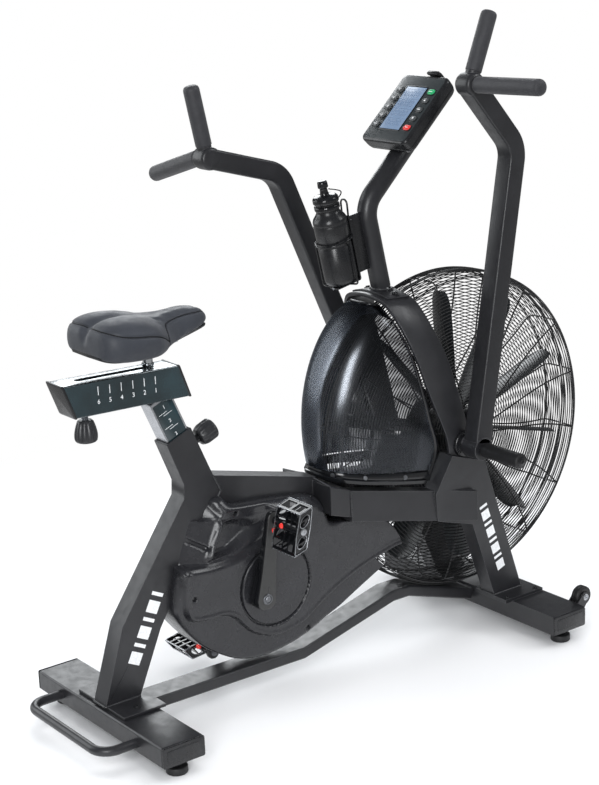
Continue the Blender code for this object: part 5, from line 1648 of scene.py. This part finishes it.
def shape_pad(mesh):
    """Centre channel and notch between the rear lobes, raised lobes, and a dip before them."""
    points = read_points(mesh) - np.array(SHIFT)
    x, y, z = points[:, 0], points[:, 1], points[:, 2]
    upper = smooth((z - 0.765) / 0.03)
    channel = np.exp(-(x / 0.011) ** 2) * smooth((-0.35 - y) / 0.07) * 0.006
    notch = np.exp(-(x / 0.01) ** 2) * smooth((-0.455 - y) / 0.015) * 0.006
    lobe = (np.exp(-((np.abs(x) - 0.047) / 0.028) ** 2)
            * np.exp(-((y + 0.42) / 0.034) ** 2) * 0.002)
    dip = np.exp(-((y + 0.335) / 0.03) ** 2) * 0.0015
    points[:, 2] += upper * (lobe - channel - dip)
    points[:, 1] += notch * upper * 0.9
    write_points(mesh, points + np.array(SHIFT))


def seam_lines(pad):
    """[(surface point, normal)] each millimetre, depth and width, for every seam."""
    tree = BVHTree.FromObject(pad, bpy.context.evaluated_depsgraph_get())
    lines = []
    for _, sign in SIDES:
        for seam, depth, width in ((REAR_SEAM, 0.0026, 0.0024), (NOSE_SEAM, 0.0016, 0.0022)):
            points = np.array(spline([(sign * x, y, z) for x, y, z in seam], 10))
            lengths = np.linalg.norm(np.diff(points, axis=0), axis=1)
            lengths = np.concatenate([[0], np.cumsum(lengths)])
            s = np.arange(0, lengths[-1], 0.001)
            line = []
            for p in np.column_stack([np.interp(s, lengths, points[:, k]) for k in range(3)]):
                place, normal, _, _ = tree.find_nearest(Vector(p) + SHIFT)
                line.append((place - SHIFT, normal))
            lines.append((line, depth, width))
    return lines


def press_seams(mesh, lines):
    points = read_points(mesh) - np.array(SHIFT)
    normals = np.array([v.normal for v in mesh.vertices], float)
    for line, depth, width in lines:
        tree = kdtree.KDTree(len(line))
        for i, (p, _) in enumerate(line):
            tree.insert(p, i)
        tree.balance()
        for i in range(len(points)):
            dist = tree.find(Vector(points[i]))[2]
            if dist < width * 4:
                points[i] -= normals[i] * depth * math.exp(-(dist / width) ** 2)
    write_points(mesh, points + np.array(SHIFT))


def saddle_cover():
    pad = inflated_pad()
    shape_pad(pad.data)
    lines = seam_lines(pad)
    press_seams(pad.data, lines)
    mesh = pad.data.copy()
    bpy.data.objects.remove(pad, do_unlink=True)
    mesh.name = 'saddle_cover'
    mesh.materials.clear()
    finish('saddle_cover', mesh, 'vinyl', 'saddle', 'saddle', angle=70)
    return lines


def saddle_stitching(lines):
    """A cord in each seam and a row of stitches beside it."""
    shell = Shell()
    for line, depth, _ in lines:
        shell.tube([p - normal * (depth * 0.8) for p, normal in line[::3]], 0.00085, 6)
        for i in range(2, len(line) - 5, 5):
            p0, n0 = line[i]
            p1, n1 = line[i + 3]
            run = p1 - p0
            if run.length < 1e-5:
                continue
            beside = run.normalized().cross(n0) * 0.002
            a, b = p0 + beside - n0 * 0.0003, p1 + beside - n1 * 0.0003
            shell.tube([a - n0 * 0.0004, a.lerp(b, 0.25) + n0 * 0.0002,
                        a.lerp(b, 0.75) + n1 * 0.0002, b - n1 * 0.0004], 0.00034, 5)
    shell.build('saddle_stitching', 'thread', 'saddle', angle=60)


def saddle_pan():
    """Moulded pan under the pad."""
    rings = []
    for y, half, low, _ in spline(SADDLE, 4)[3:-3]:
        w = half * 0.72
        rings.append([vec(a, y, low + b) for a, b in (
            (-w, 0.005), (-w * 0.94, 0.0006), (0, -0.0002), (w * 0.94, 0.0006), (w, 0.005),
            (0, 0.007))])
    Shell().loft(rings).build('saddle_pan', 'satin_black', 'saddle', angle=50)


saddle_stitching(saddle_cover())
saddle_pan()


# =============================================================== adjusting knobs
def grip_flutes(count, depth, low, high):
    """Flutes for a lathe, fading out near the two heights."""
    def flute(angle, height):
        if height < low or height > high:
            return 0.0
        fade = min(1.0, (height - low) / 0.003, (high - height) / 0.003)
        return -depth * fade * (0.5 + 0.5 * math.cos(count * angle)) ** 1.6
    return flute


# ---- height knob on the front of the upright, square to the seat post
HEIGHT_KNOB = vec(0, -0.2532, 0.545) + POST_ACROSS * 0.0006
profile = [(0.014, 0.01), (0.0143, 0.015), (0.0155, 0.017), (0.02, 0.0192)]
profile += [(0.02 + 0.024 * k / 12, 0.0192 + 0.0023 * math.sin(math.pi * 0.5 * min(1, k / 5)))
            for k in range(1, 13)]
profile += [(0.0465, 0.0212), (0.049, 0.0198), (0.0508, 0.0172), (0.0516, 0.013),
            (0.052, 0.008)]
Shell().lathe(HEIGHT_KNOB, POST_ACROSS, profile, 96,
              flute=grip_flutes(12, 0.075, 0.016, 0.048)).build(
    'seat_height_knob_grip', 'knob_plastic', 'height_knob', 'seat_height_knob', angle=50)
Shell().lathe(HEIGHT_KNOB, POST_ACROSS, [
    (0.0, 0.007), (0.0006, 0.008), (0.0125, 0.0083), (0.0132, 0.012), (0.0142, 0.012)],
    28).build('seat_height_knob_stem', 'satin_black', 'height_knob')

# ---- slide knob hanging under the rail
SLIDE_KNOB = vec(0, -0.479, 0.6485)
profile = [(0.0118, 0.009), (0.012, 0.0125), (0.0135, 0.0136)]
profile += [(0.0135 + 0.03 * k / 14, 0.0148 + 0.0068 * math.sin(k / 14 * math.pi / 2))
            for k in range(1, 15)]
profile += [(0.047, 0.0213), (0.05, 0.0203), (0.0524, 0.0182), (0.0536, 0.015), (0.054, 0.011)]
Shell().lathe(SLIDE_KNOB, -Z_AXIS, profile, 96, flute=grip_flutes(10, 0.085, 0.014, 0.05)).build(
    'seat_slide_knob_grip', 'knob_plastic', 'slide_knob', 'seat_slide_knob', angle=50)
profile = [(0.0, 0.0064)]
for k in range(9):
    profile += [(0.0006 + k * 0.0012, 0.0064), (0.0012 + k * 0.0012, 0.0056)]
profile += [(0.0116, 0.0064), (0.0122, 0.0064)]
Shell().lathe(SLIDE_KNOB, -Z_AXIS, profile, 24).build(
    'seat_slide_knob_thread', 'steel', 'slide_knob', angle=25)

# =============================================================== console
# Face plane: x across, v up the face from its lower edge, h out of it toward the rider.
CONSOLE_BASE = vec(0, 0.229, 1.06)
CONSOLE_UP = vec(0, 0.721, 0.6929).normalized()
CONSOLE_OUT = vec(0, -0.6929, 0.721).normalized()
FACE = (CONSOLE_BASE, X_AXIS, CONSOLE_UP, CONSOLE_OUT)
SCREEN_X, SCREEN_V = -0.002, 0.081          # centre of the display


def on_face(x, v, h):
    return CONSOLE_BASE + CONSOLE_UP * v + CONSOLE_OUT * h + X_AXIS * x


def face_ring(x, v, h, width, length, corner, seg=6):
    return [on_face(x + a, v + b, h) for a, b in rounded_rect(width, length, corner, seg)]


# height, width, length, corner radius, from the back to the face
HOUSING = [
    (-0.041, 0.1, 0.132, 0.012), (-0.0402, 0.106, 0.138, 0.013), (-0.038, 0.112, 0.144, 0.014),
    (-0.033, 0.126, 0.159, 0.014), (-0.03, 0.131, 0.165, 0.014),
    (-0.0225, 0.1345, 0.1685, 0.014), (-0.0215, 0.1345, 0.1685, 0.014),
    (-0.021, 0.1325, 0.1665, 0.013), (-0.02, 0.1325, 0.1665, 0.013),
    (-0.0195, 0.135, 0.169, 0.014), (-0.006, 0.136, 0.17, 0.014),
    (-0.003, 0.1352, 0.1692, 0.0138), (-0.001, 0.1325, 0.1665, 0.0125),
    (0.0, 0.129, 0.163, 0.011)]
Shell().loft([face_ring(0, 0.0815, *row) for row in HOUSING]).build(
    'console_housing', 'satin_black', 'frame', 'console', angle=35)
Shell().slab(FACE, (-0.0625, 0.0625), (0.0025, 0.1605), (-0.0004, 0.00035),
             corner=0.01, edge=0.0003, seg=6).build('console_face_panel', 'console_face', 'frame')

# ---- bezel round the display: height, width, length, corner radius
BEZEL = [(0.0002, 0.064, 0.112, 0.003), (0.001, 0.064, 0.112, 0.003),
         (0.0014, 0.0624, 0.1104, 0.0026), (0.0014, 0.0596, 0.1076, 0.0014),
         (0.0004, 0.0592, 0.1072, 0.0012)]
rings = [face_ring(SCREEN_X, SCREEN_V, *row, 4) for row in BEZEL]
Shell().loft(rings, caps=False).loft([rings[0], rings[-1]], caps=False).build(
    'console_bezel', 'gloss_black', 'frame')
Shell().slab(FACE, (SCREEN_X - 0.029, SCREEN_X + 0.029), (SCREEN_V - 0.053, SCREEN_V + 0.053),
             (0.0004, 0.0013), corner=0.001, edge=0.0001).build(
    'console_display', 'lcd', 'frame', 'screen_lens')


# ---- faint idle zeros on the display
def display_figures():
    width, height, bar = 0.0062, 0.0125, 0.001
    figure_h = (0.00125, 0.0014)
    # centre of each bar from the foot of the figure, its length, whether it lies level
    bars = [(0, height, width, True), (width / 2, height * 0.75, height / 2, False),
            (width / 2, height * 0.25, height / 2, False), (0, 0, width, True),
            (-width / 2, height * 0.25, height / 2, False),
            (-width / 2, height * 0.75, height / 2, False)]
    shell = Shell()
    for row in range(4):
        foot = 0.0375 + row * 0.0245
        for k in range(4):
            for dx, dv, length, level in bars:
                x, v = -0.0205 + k * 0.0115 + dx, foot + dv
                long, short = length / 2 - bar * 0.6, bar / 2
                half_x, half_v = (long, short) if level else (short, long)
                shell.slab(FACE, (x - half_x, x + half_x), (v - half_v, v + half_v), figure_h,
                           corner=0.0003, edge=0.00003)
        shell.slab(FACE, (-0.0285, 0.0245), (foot + 0.017, foot + 0.0174), figure_h,
                   corner=0.0001, edge=0.00003)
    shell.build('console_display_figures', 'lcd_mark', 'frame')


display_figures()

# ---- keys: five in each column, numbered from the bottom
KEY_X, KEY_V, KEY_PITCH = 0.047, 0.035, 0.0225
KEY_CAP = [(0.0016, 0.0004), (0.0018, 0.0), (0.0026, 0.0002), (0.0032, 0.0009),
           (0.0035, 0.002), (0.0037, 0.0034)]      # height, inset
MARK_H = (0.0035, 0.00385)


def key_mark(x, v, column, k, grey):
    shell = Shell()
    if grey and column == 'r' and k in (1, 3):
        way = 1 if k == 3 else -1       # arrow up or down
        arrow = [(-0.0028, -0.0016 * way), (0.0028, -0.0016 * way), (0.0, 0.0022 * way)]
        return shell.loft([[on_face(x + a, v + b, h) for a, b in arrow] for h in MARK_H])
    # half length, lower and upper edge
    if not grey:
        bars = [(0.0042, -0.0006, 0.0006)]
    elif column == 'l':
        bars = [(0.0042, 0.0004, 0.0014), (0.0028, -0.002, -0.0012)]
    else:
        bars = [(0.004, -0.0008, 0.0008)]
    for half, low, high in bars:
        shell.slab(FACE, (x - half, x + half), (v + low, v + high), MARK_H,
                   corner=0.0003, edge=0.0001)
    return shell


def console_key(column, x, k):
    v = KEY_V + KEY_PITCH * k
    name, mat = {('r', 0): ('key_stop', 'key_red'), ('r', 4): ('key_start', 'key_green')}.get(
        (column, k), ('key_%s%d' % (column, k + 1), 'key_grey'))
    grey = mat == 'key_grey'
    size = 1.0 if grey else 1.12
    Shell().loft([face_ring(x, v, h, (0.017 - 2 * inset) * size, (0.0112 - 2 * inset) * size,
                            0.0052 - inset) for h, inset in KEY_CAP]).build(
        name + '_cap', mat, name, name, angle=60)
    key_mark(x, v, column, k, grey).build(name + '_mark', 'print_white', name)
    outer, inner = (0.0205 * size, 0.0146 * size, 0.0062), (0.019 * size, 0.0131 * size, 0.0056)
    Shell().loft([face_ring(x, v, h, *ring) for h, ring in (
        (0.0002, outer), (0.0007, outer), (0.0009, inner), (0.0003, inner))]).build(
        name + '_well', 'gloss_black', 'frame')


for column, x in (('l', -KEY_X), ('r', KEY_X)):
    for k in range(5):
        console_key(column, x, k)

# ---- clip and boss at the top edge, bracket at the back
CLIP_X = (-0.004, 0.03)
shell = Shell()
shell.slab(FACE, CLIP_X, (0.16, 0.178), (-0.03, -0.024), corner=0.003, edge=0.001)
shell.slab((CONSOLE_BASE + CONSOLE_UP * 0.169, X_AXIS, CONSOLE_OUT, CONSOLE_UP), CLIP_X,
           (-0.025, -0.002), (0.003, 0.009), corner=0.003, edge=0.001)
shell.slab(FACE, CLIP_X, (0.169, 0.1775), (-0.004, 0.002), corner=0.003, edge=0.001)
shell.build('console_top_clip', 'satin_black', 'frame')
Shell().loft([[on_face(-0.023 + 0.0165 * c * size, 0.164 + 0.0085 * s * size, h)
               for c, s in circle(32)]
              for h, size in ((-0.036, 0.9), (-0.034, 1.0), (-0.012, 1.0), (-0.01, 0.9))]).build(
    'console_top_boss', 'console_face', 'frame')
shell = Shell()
shell.slab(FACE, (-0.034, 0.034), (0.038, 0.115), (-0.044, -0.0405), corner=0.006, edge=0.001)
for x_span in ((0.021, 0.0245), (-0.0245, -0.021)):
    shell.slab(FACE, x_span, (0.045, 0.11), (-0.059, -0.042), corner=0.0015, edge=0.0008)
shell.build('console_bracket', 'powder_black', 'frame')
shell = Shell()
for _, sign in SIDES:
    for v in (0.056, 0.1):
        shell.bolt(on_face(sign * 0.0245, v, -0.051), (sign, 0, 0), 0.0034, 0.0026)
shell.build('console_bracket_bolts', 'zinc_dark', 'frame')

# =============================================================== bottle and its cage
BOTTLE_UP, BOTTLE_BASE = vec(0, -0.1994, 0.9799), vec(0, 0.1175, 0.795)
BOTTLE_FRONT = vec(0, 0.9799, 0.1994)       # square to the bottle, toward the mast


def by_bottle(x, front, height):
    return BOTTLE_BASE + X_AXIS * x + BOTTLE_FRONT * front + BOTTLE_UP * height


Shell().lathe(BOTTLE_BASE, BOTTLE_UP, [
    (0.001, 0.018), (0.0004, 0.025), (0.0004, 0.028), (0.0014, 0.0304), (0.004, 0.0324),
    (0.01, 0.0333), (0.076, 0.0336), (0.0772, 0.0328), (0.08, 0.0326), (0.0828, 0.0328),
    (0.084, 0.0336), (0.116, 0.0339), (0.12, 0.034), (0.1215, 0.0334), (0.1235, 0.0334),
    (0.125, 0.0339), (0.13, 0.0334), (0.1345, 0.0315), (0.1385, 0.0284), (0.1425, 0.0252),
    (0.1455, 0.0234), (0.1475, 0.0228), (0.151, 0.0226)], 56).build(
    'bottle_body', 'satin_black', 'bottle', 'bottle', angle=40)


def cap_knurl(angle, height):
    knurled = 0.152 < height < 0.1595 or 0.165 < height < 0.174
    return 0.018 * (0.5 + 0.5 * math.cos(28 * angle)) if knurled else 0.0


shell = Shell().lathe(BOTTLE_BASE, BOTTLE_UP, [
    (0.15, 0.0232), (0.1508, 0.0244), (0.1525, 0.0248), (0.159, 0.0248), (0.1602, 0.024),
    (0.1608, 0.0222), (0.1638, 0.0222), (0.1644, 0.0246), (0.1655, 0.0252), (0.1735, 0.025),
    (0.1752, 0.0242), (0.177, 0.0222), (0.1785, 0.0186), (0.1795, 0.012), (0.1805, 0.0092),
    (0.183, 0.0082), (0.1925, 0.0074), (0.1935, 0.008), (0.1945, 0.0098), (0.196, 0.0104),
    (0.204, 0.0098), (0.2065, 0.009), (0.2078, 0.0076), (0.208, 0.004)], 84, flute=cap_knurl)
strap = [(0.018, 0.0165, 0.169), (0.0215, 0.0225, 0.176), (0.02, 0.0245, 0.181),
         (0.014, 0.019, 0.185), (0.006, 0.007, 0.19)]
shell.tube(spline([by_bottle(*p) for p in strap], 6), 0.0012, 8)
shell.build('bottle_cap', 'gloss_black', 'bottle', angle=45)

# ---- cage: hoop round the bottle, side wires running under it, and a loop at the top
WIRE, HOOP = 0.0019, 0.0372
shell = Shell().tube([by_bottle(HOOP * c, HOOP * s, 0.0875 + 0.004 * s) for c, s in circle(72)],
                     WIRE, 10, closed=True)
for sign, degrees in ((1, 18), (-1, 222)):
    angle = math.radians(degrees)
    x, front = HOOP * math.cos(angle), HOOP * math.sin(angle)
    shell.tube(fillet([by_bottle(x, front, 0.086), by_bottle(x, front, -0.0045),
                       by_bottle(x * 0.3, front * 0.55, -0.0062),
                       by_bottle(sign * 0.006, 0.033, -0.0062)], 0.006, 6), WIRE, 10)
shell.tube(fillet([by_bottle(-0.0095, 0.038, 0.118), by_bottle(-0.0095, 0.042, 0.156),
                   by_bottle(0.0095, 0.042, 0.156), by_bottle(0.0095, 0.038, 0.118)], 0.009, 8),
           WIRE, 10)
shell.build('bottle_cage_wires', 'gloss_black', 'frame', 'bottle_cage', angle=60)

# ---- spine between bottle and mast, and the shelf under the bottle
SPINE = (BOTTLE_BASE, X_AXIS, BOTTLE_UP, BOTTLE_FRONT)
shell = Shell()
shell.slab(SPINE, (-0.012, 0.012), (-0.0085, 0.125), (0.0365, 0.0398),
           corner=0.003, edge=0.0008)
shell.slab((BOTTLE_BASE, X_AXIS, BOTTLE_FRONT, BOTTLE_UP), (-0.014, 0.014), (-0.023, 0.0385),
           (-0.0085, -0.0055), corner=0.004, edge=0.0008)
shell.slab(SPINE, (-0.0038, 0.0038), (0.002, 0.12), (0.039, 0.0712),
           corner=0.0015, edge=0.0006)
shell.slab(SPINE, (-0.011, 0.011), (0.006, 0.116), (0.0388, 0.045), corner=0.002, edge=0.0006)
shell.build('bottle_cage_spine', 'satin_black', 'frame')
shell = Shell()
for height in (0.026, 0.101):
    shell.bolt(by_bottle(0, 0.0366, height), -BOTTLE_FRONT, 0.003, 0.0012, washer=False)
shell.bolt(by_bottle(0.0, -0.023, -0.007), -BOTTLE_FRONT, 0.0028, 0.002, washer=False)
shell.build('bottle_cage_bolts', 'steel', 'frame')


# =============================================================== wheels and feet
def wheel(side, sign):
    centre = vec(sign * 0.24, 0.543, 0.085)
    # right halves of the tyre and the hub: x, radius
    tyre = [(0.0022, 0.0208), (0.003, 0.0215), (0.007, 0.0212), (0.0088, 0.0196),
            (0.0095, 0.0172), (0.0092, 0.013), (0.008, 0.011)]
    hub = [(0.0066, 0.0112), (0.0074, 0.0085), (0.0094, 0.0075), (0.0094, 0.004)]
    shell = Shell()
    for slot, half, sides in ((0, tyre, 48), (1, hub, 40)):
        shell.lathe(centre, X_AXIS, [(-x, r) for x, r in reversed(half)] + half, sides,
                    closed=True, slot=slot)
    shell.build('transport_wheel_tyre_' + side, ['rubber', 'satin_black'], 'wheel_' + side,
                'transport_wheel_' + side)
    shell = Shell()
    for way in (-1, 1):
        shell.bolt(centre + X_AXIS * (way * 0.0142), (way, 0, 0), 0.0042, 0.003)
    shell.build('transport_wheel_bolts_' + side, 'steel', 'frame')


def foot(end, side, centre):
    """Rubber pad, threaded stem and nut."""
    name = '%s_%s' % (end, side)
    shell = Shell().lathe(centre, Z_AXIS, [
        (0.0, 0.0165), (0.0, 0.0178), (0.001, 0.0196), (0.0024, 0.0205), (0.004, 0.0205),
        (0.0046, 0.02), (0.0052, 0.0205), (0.012, 0.0205), (0.014, 0.0198), (0.0155, 0.017),
        (0.0162, 0.012)], 44)
    thread = [(0.0128, 0.0066)]
    z = 0.0136
    while z < 0.0282:
        thread += [(z, 0.0068), (z + 0.0006, 0.006)]
        z += 0.0012
    thread.append((0.0287, 0.0066))
    shell.lathe(centre, Z_AXIS, thread, 24, slot=1)
    shell.lathe(centre, Z_AXIS, [(0.016, 0.0125), (0.023, 0.0125), (0.024, 0.0112)], 6, slot=1)
    shell.build('levelling_foot_' + name, ['rubber', 'satin_black'], 'foot_' + name,
                'foot_' + name, angle=30)


for side, sign in SIDES:
    wheel(side, sign)
for side, sign in SIDES:
    foot('rear', side, vec(sign * 0.198, REAR_BAR_Y, 0.006))
    foot('front', side, vec(sign * 0.246, FRONT_BAR_Y, 0.006))


# =============================================================== stripe decals
def stripes(shell, plane, half, start, pitch, count, wide, narrow):
    """Wide and narrow printed bars by turns; narrow is the span of the thin bar."""
    origin, across, up, out = plane
    for k in range(count):
        for low, high in ((0.0, wide), narrow):
            shell.loft([[origin + across * u + up * (start + pitch * k + w) + out * t
                         for u, w in rect(-half, half, low, high)] for t in (-0.0001, 0.0003)])


shell = Shell()
for _, sign in SIDES:
    # outer face of the fork leg
    top, low = (vec(sign * (0.129 - FORK_LEAN * (0.42 - z)), y, z)
                for y, z in ((0.363, 0.325), (0.4345, 0.135)))
    up = (top - low).normalized()
    out = vec(sign * math.cos(FORK_LEAN), 0, -math.sin(FORK_LEAN))
    across = up.cross(out).normalized()
    if across.y < 0:
        across = -across
    stripes(shell, (low + out * 0.0004, across, up, out), half=0.0105, start=0.006,
            pitch=0.044, count=4, wide=0.022, narrow=(0.03, 0.036))
    # side of the seat upright
    low, top = vec(sign * 0.0221, -0.427, 0.15), vec(sign * 0.0221, -0.337, 0.33)
    up = (top - low).normalized()
    stripes(shell, (low, vec(0, up.z, -up.y), up, vec(sign, 0, 0)), half=0.013, start=0.0,
            pitch=0.051, count=3, wide=0.024, narrow=(0.034, 0.041))
shell.build('stripe_decals', 'print_white', 'frame')


# =============================================================== stage, light and camera
def build_floor():
    """Pale floor that melts into the white backdrop away from the bike."""
    mesh = bpy.data.meshes.new('floor')
    mesh.from_pydata([(-30, -30, 0), (30, -30, 0), (30, 30, 0), (-30, 30, 0)], [],
                     [(0, 1, 2, 3)])
    floor = link_object('floor', mesh)
    mat = bpy.data.materials.new('floor')
    tree = Tree(mat, clear=False)
    shader = tree.nodes['Principled BSDF']
    coords = tree.object_coords()
    tone = tree.ramp(tree.noise(coords, 1.5), (0.90, 0.90, 0.905), (0.93, 0.93, 0.935))
    tree.set(shader, {'Base Color': tone, 'Roughness': 0.75, 'Specular IOR Level': 0.15})
    distance = tree.add('VectorMath', {0: coords}, operation='LENGTH').outputs['Value']
    fade = tree.remap(distance, source=(0.75, 1.7), to=(0.0, 1.0),
                      interpolation_type='SMOOTHSTEP')
    # full white for the camera, dimmer for light that bounces off it
    camera_ray = tree.add('LightPath').outputs['Is Camera Ray']
    glow = tree.add('Emission', {'Color': (1, 1, 1, 1),
                                 'Strength': tree.remap(camera_ray, (0.42, 1.0))})
    mix = tree.add('MixShader', {0: fade, 1: shader, 2: glow})
    tree.set(tree.nodes['Material Output'], {0: mix})
    mesh.materials.append(mat)


def build_world(scene):
    """White to the camera, pale blue to diffuse light, darker in reflections."""
    diffuse_strength, glossy_strength = 0.42, 0.17
    world = bpy.data.worlds.new('studio')
    scene.world = world
    tree = Tree(world)
    rays = tree.add('LightPath')
    room = tree.add('Background', {0: (0.88, 0.91, 0.96, 1), 1: diffuse_strength})
    backdrop = tree.add('Background', {0: (1, 1, 1, 1), 1: 1.0})
    tree.set(room, {1: tree.remap(rays.outputs['Is Glossy Ray'],
                                  (diffuse_strength, glossy_strength))})
    mix = tree.add('MixShader', {0: rays.outputs['Is Camera Ray'], 1: room, 2: backdrop})
    tree.add('OutputWorld', {0: mix})


def area(name, location, target_z, size, power, colour=(1, 1, 1), size_y=None, glossy=True,
         only=None):
    """Area light aimed at a height on the z axis; only lists the objects it lights."""
    light = bpy.data.lights.new(name, 'AREA')
    light.shape = 'RECTANGLE' if size_y else 'SQUARE'
    light.size = size
    if size_y:
        light.size_y = size_y
    light.energy = power
    light.color = colour
    ob = bpy.data.objects.new(name, light)
    ob.location = location
    ob.rotation_mode = 'QUATERNION'
    aim = vec(0, 0, target_z) - Vector(location)
    ob.rotation_quaternion = aim.to_track_quat('-Z', 'Y')
    scene.collection.objects.link(ob)
    if not glossy:
        ob.visible_glossy = False
    if only:
        receivers = bpy.data.collections.new(name + '_receivers')
        for lit in only:
            receivers.objects.link(lit)
        ob.light_linking.receiver_collection = receivers


def build_camera(scene):
    data = bpy.data.cameras.new('cam')
    ob = bpy.data.objects.new('cam', data)
    scene.collection.objects.link(ob)
    yaw, pitch, roll = math.radians(52.9713), math.radians(15.969), math.radians(-2.1599)
    place = vec(2.681996, -1.983156 + SHIFT.y, 1.52351)
    ahead = vec(-math.sin(yaw) * math.cos(pitch), math.cos(yaw) * math.cos(pitch),
                -math.sin(pitch))
    level = vec(math.cos(yaw), math.sin(yaw), 0)
    upward = level.cross(ahead)
    right = level * math.cos(roll) + upward * math.sin(roll)
    up = upward * math.cos(roll) - level * math.sin(roll)
    ob.matrix_world = Matrix([(right[i], up[i], -ahead[i], place[i]) for i in range(3)]
                             + [(0, 0, 0, 1)])
    data.sensor_fit = 'AUTO'
    data.sensor_width = 36.0
    data.lens = 81.054023
    data.shift_x = -0.019735159
    data.shift_y = 0.0092042038
    data.clip_start = 0.05
    data.clip_end = 100
    scene.camera = ob


scene = bpy.context.scene
build_floor()
build_world(scene)
COOL, COOLER = (0.97, 0.985, 1.0), (0.95, 0.98, 1.0)
KEY_PLACE = (2.75, -3.1, 1.9)
area('key', KEY_PLACE, target_z=0.6, size=1.3, size_y=2.6, power=115, colour=COOL)
# the edge light only grazes the case and the arch, the gleam only the shield
area('edge', (3.6, 0.15, 1.3), target_z=0.5, size=0.9, size_y=1.2, power=30, colour=COOL,
     only=[ob for ob in scene.objects if ob.name.startswith(('chain_case', 'arch'))])
area('gleam', KEY_PLACE, target_z=0.6, size=1.3, size_y=2.6, power=190, colour=COOL,
     only=[shield])
area('front', (2.4, 2.8, 3.4), target_z=0.6, size=1.6, power=45, colour=COOL)
area('side', (-3.3, -2.2, 2.0), target_z=0.6, size=3.0, power=75, colour=COOLER)
area('top', (0.3, 0.2, 4.2), target_z=0.3, size=3.6, power=92, glossy=False)
area('back', (-3.2, 1.8, 2.4), target_z=0.6, size=2.0, power=70, colour=COOLER)
area('fill', (3.6, -0.6, 2.0), target_z=0.5, size=1.8, power=30, glossy=False)
build_camera(scene)
scene.view_settings.view_transform = 'Standard'
scene.view_settings.look = 'None'
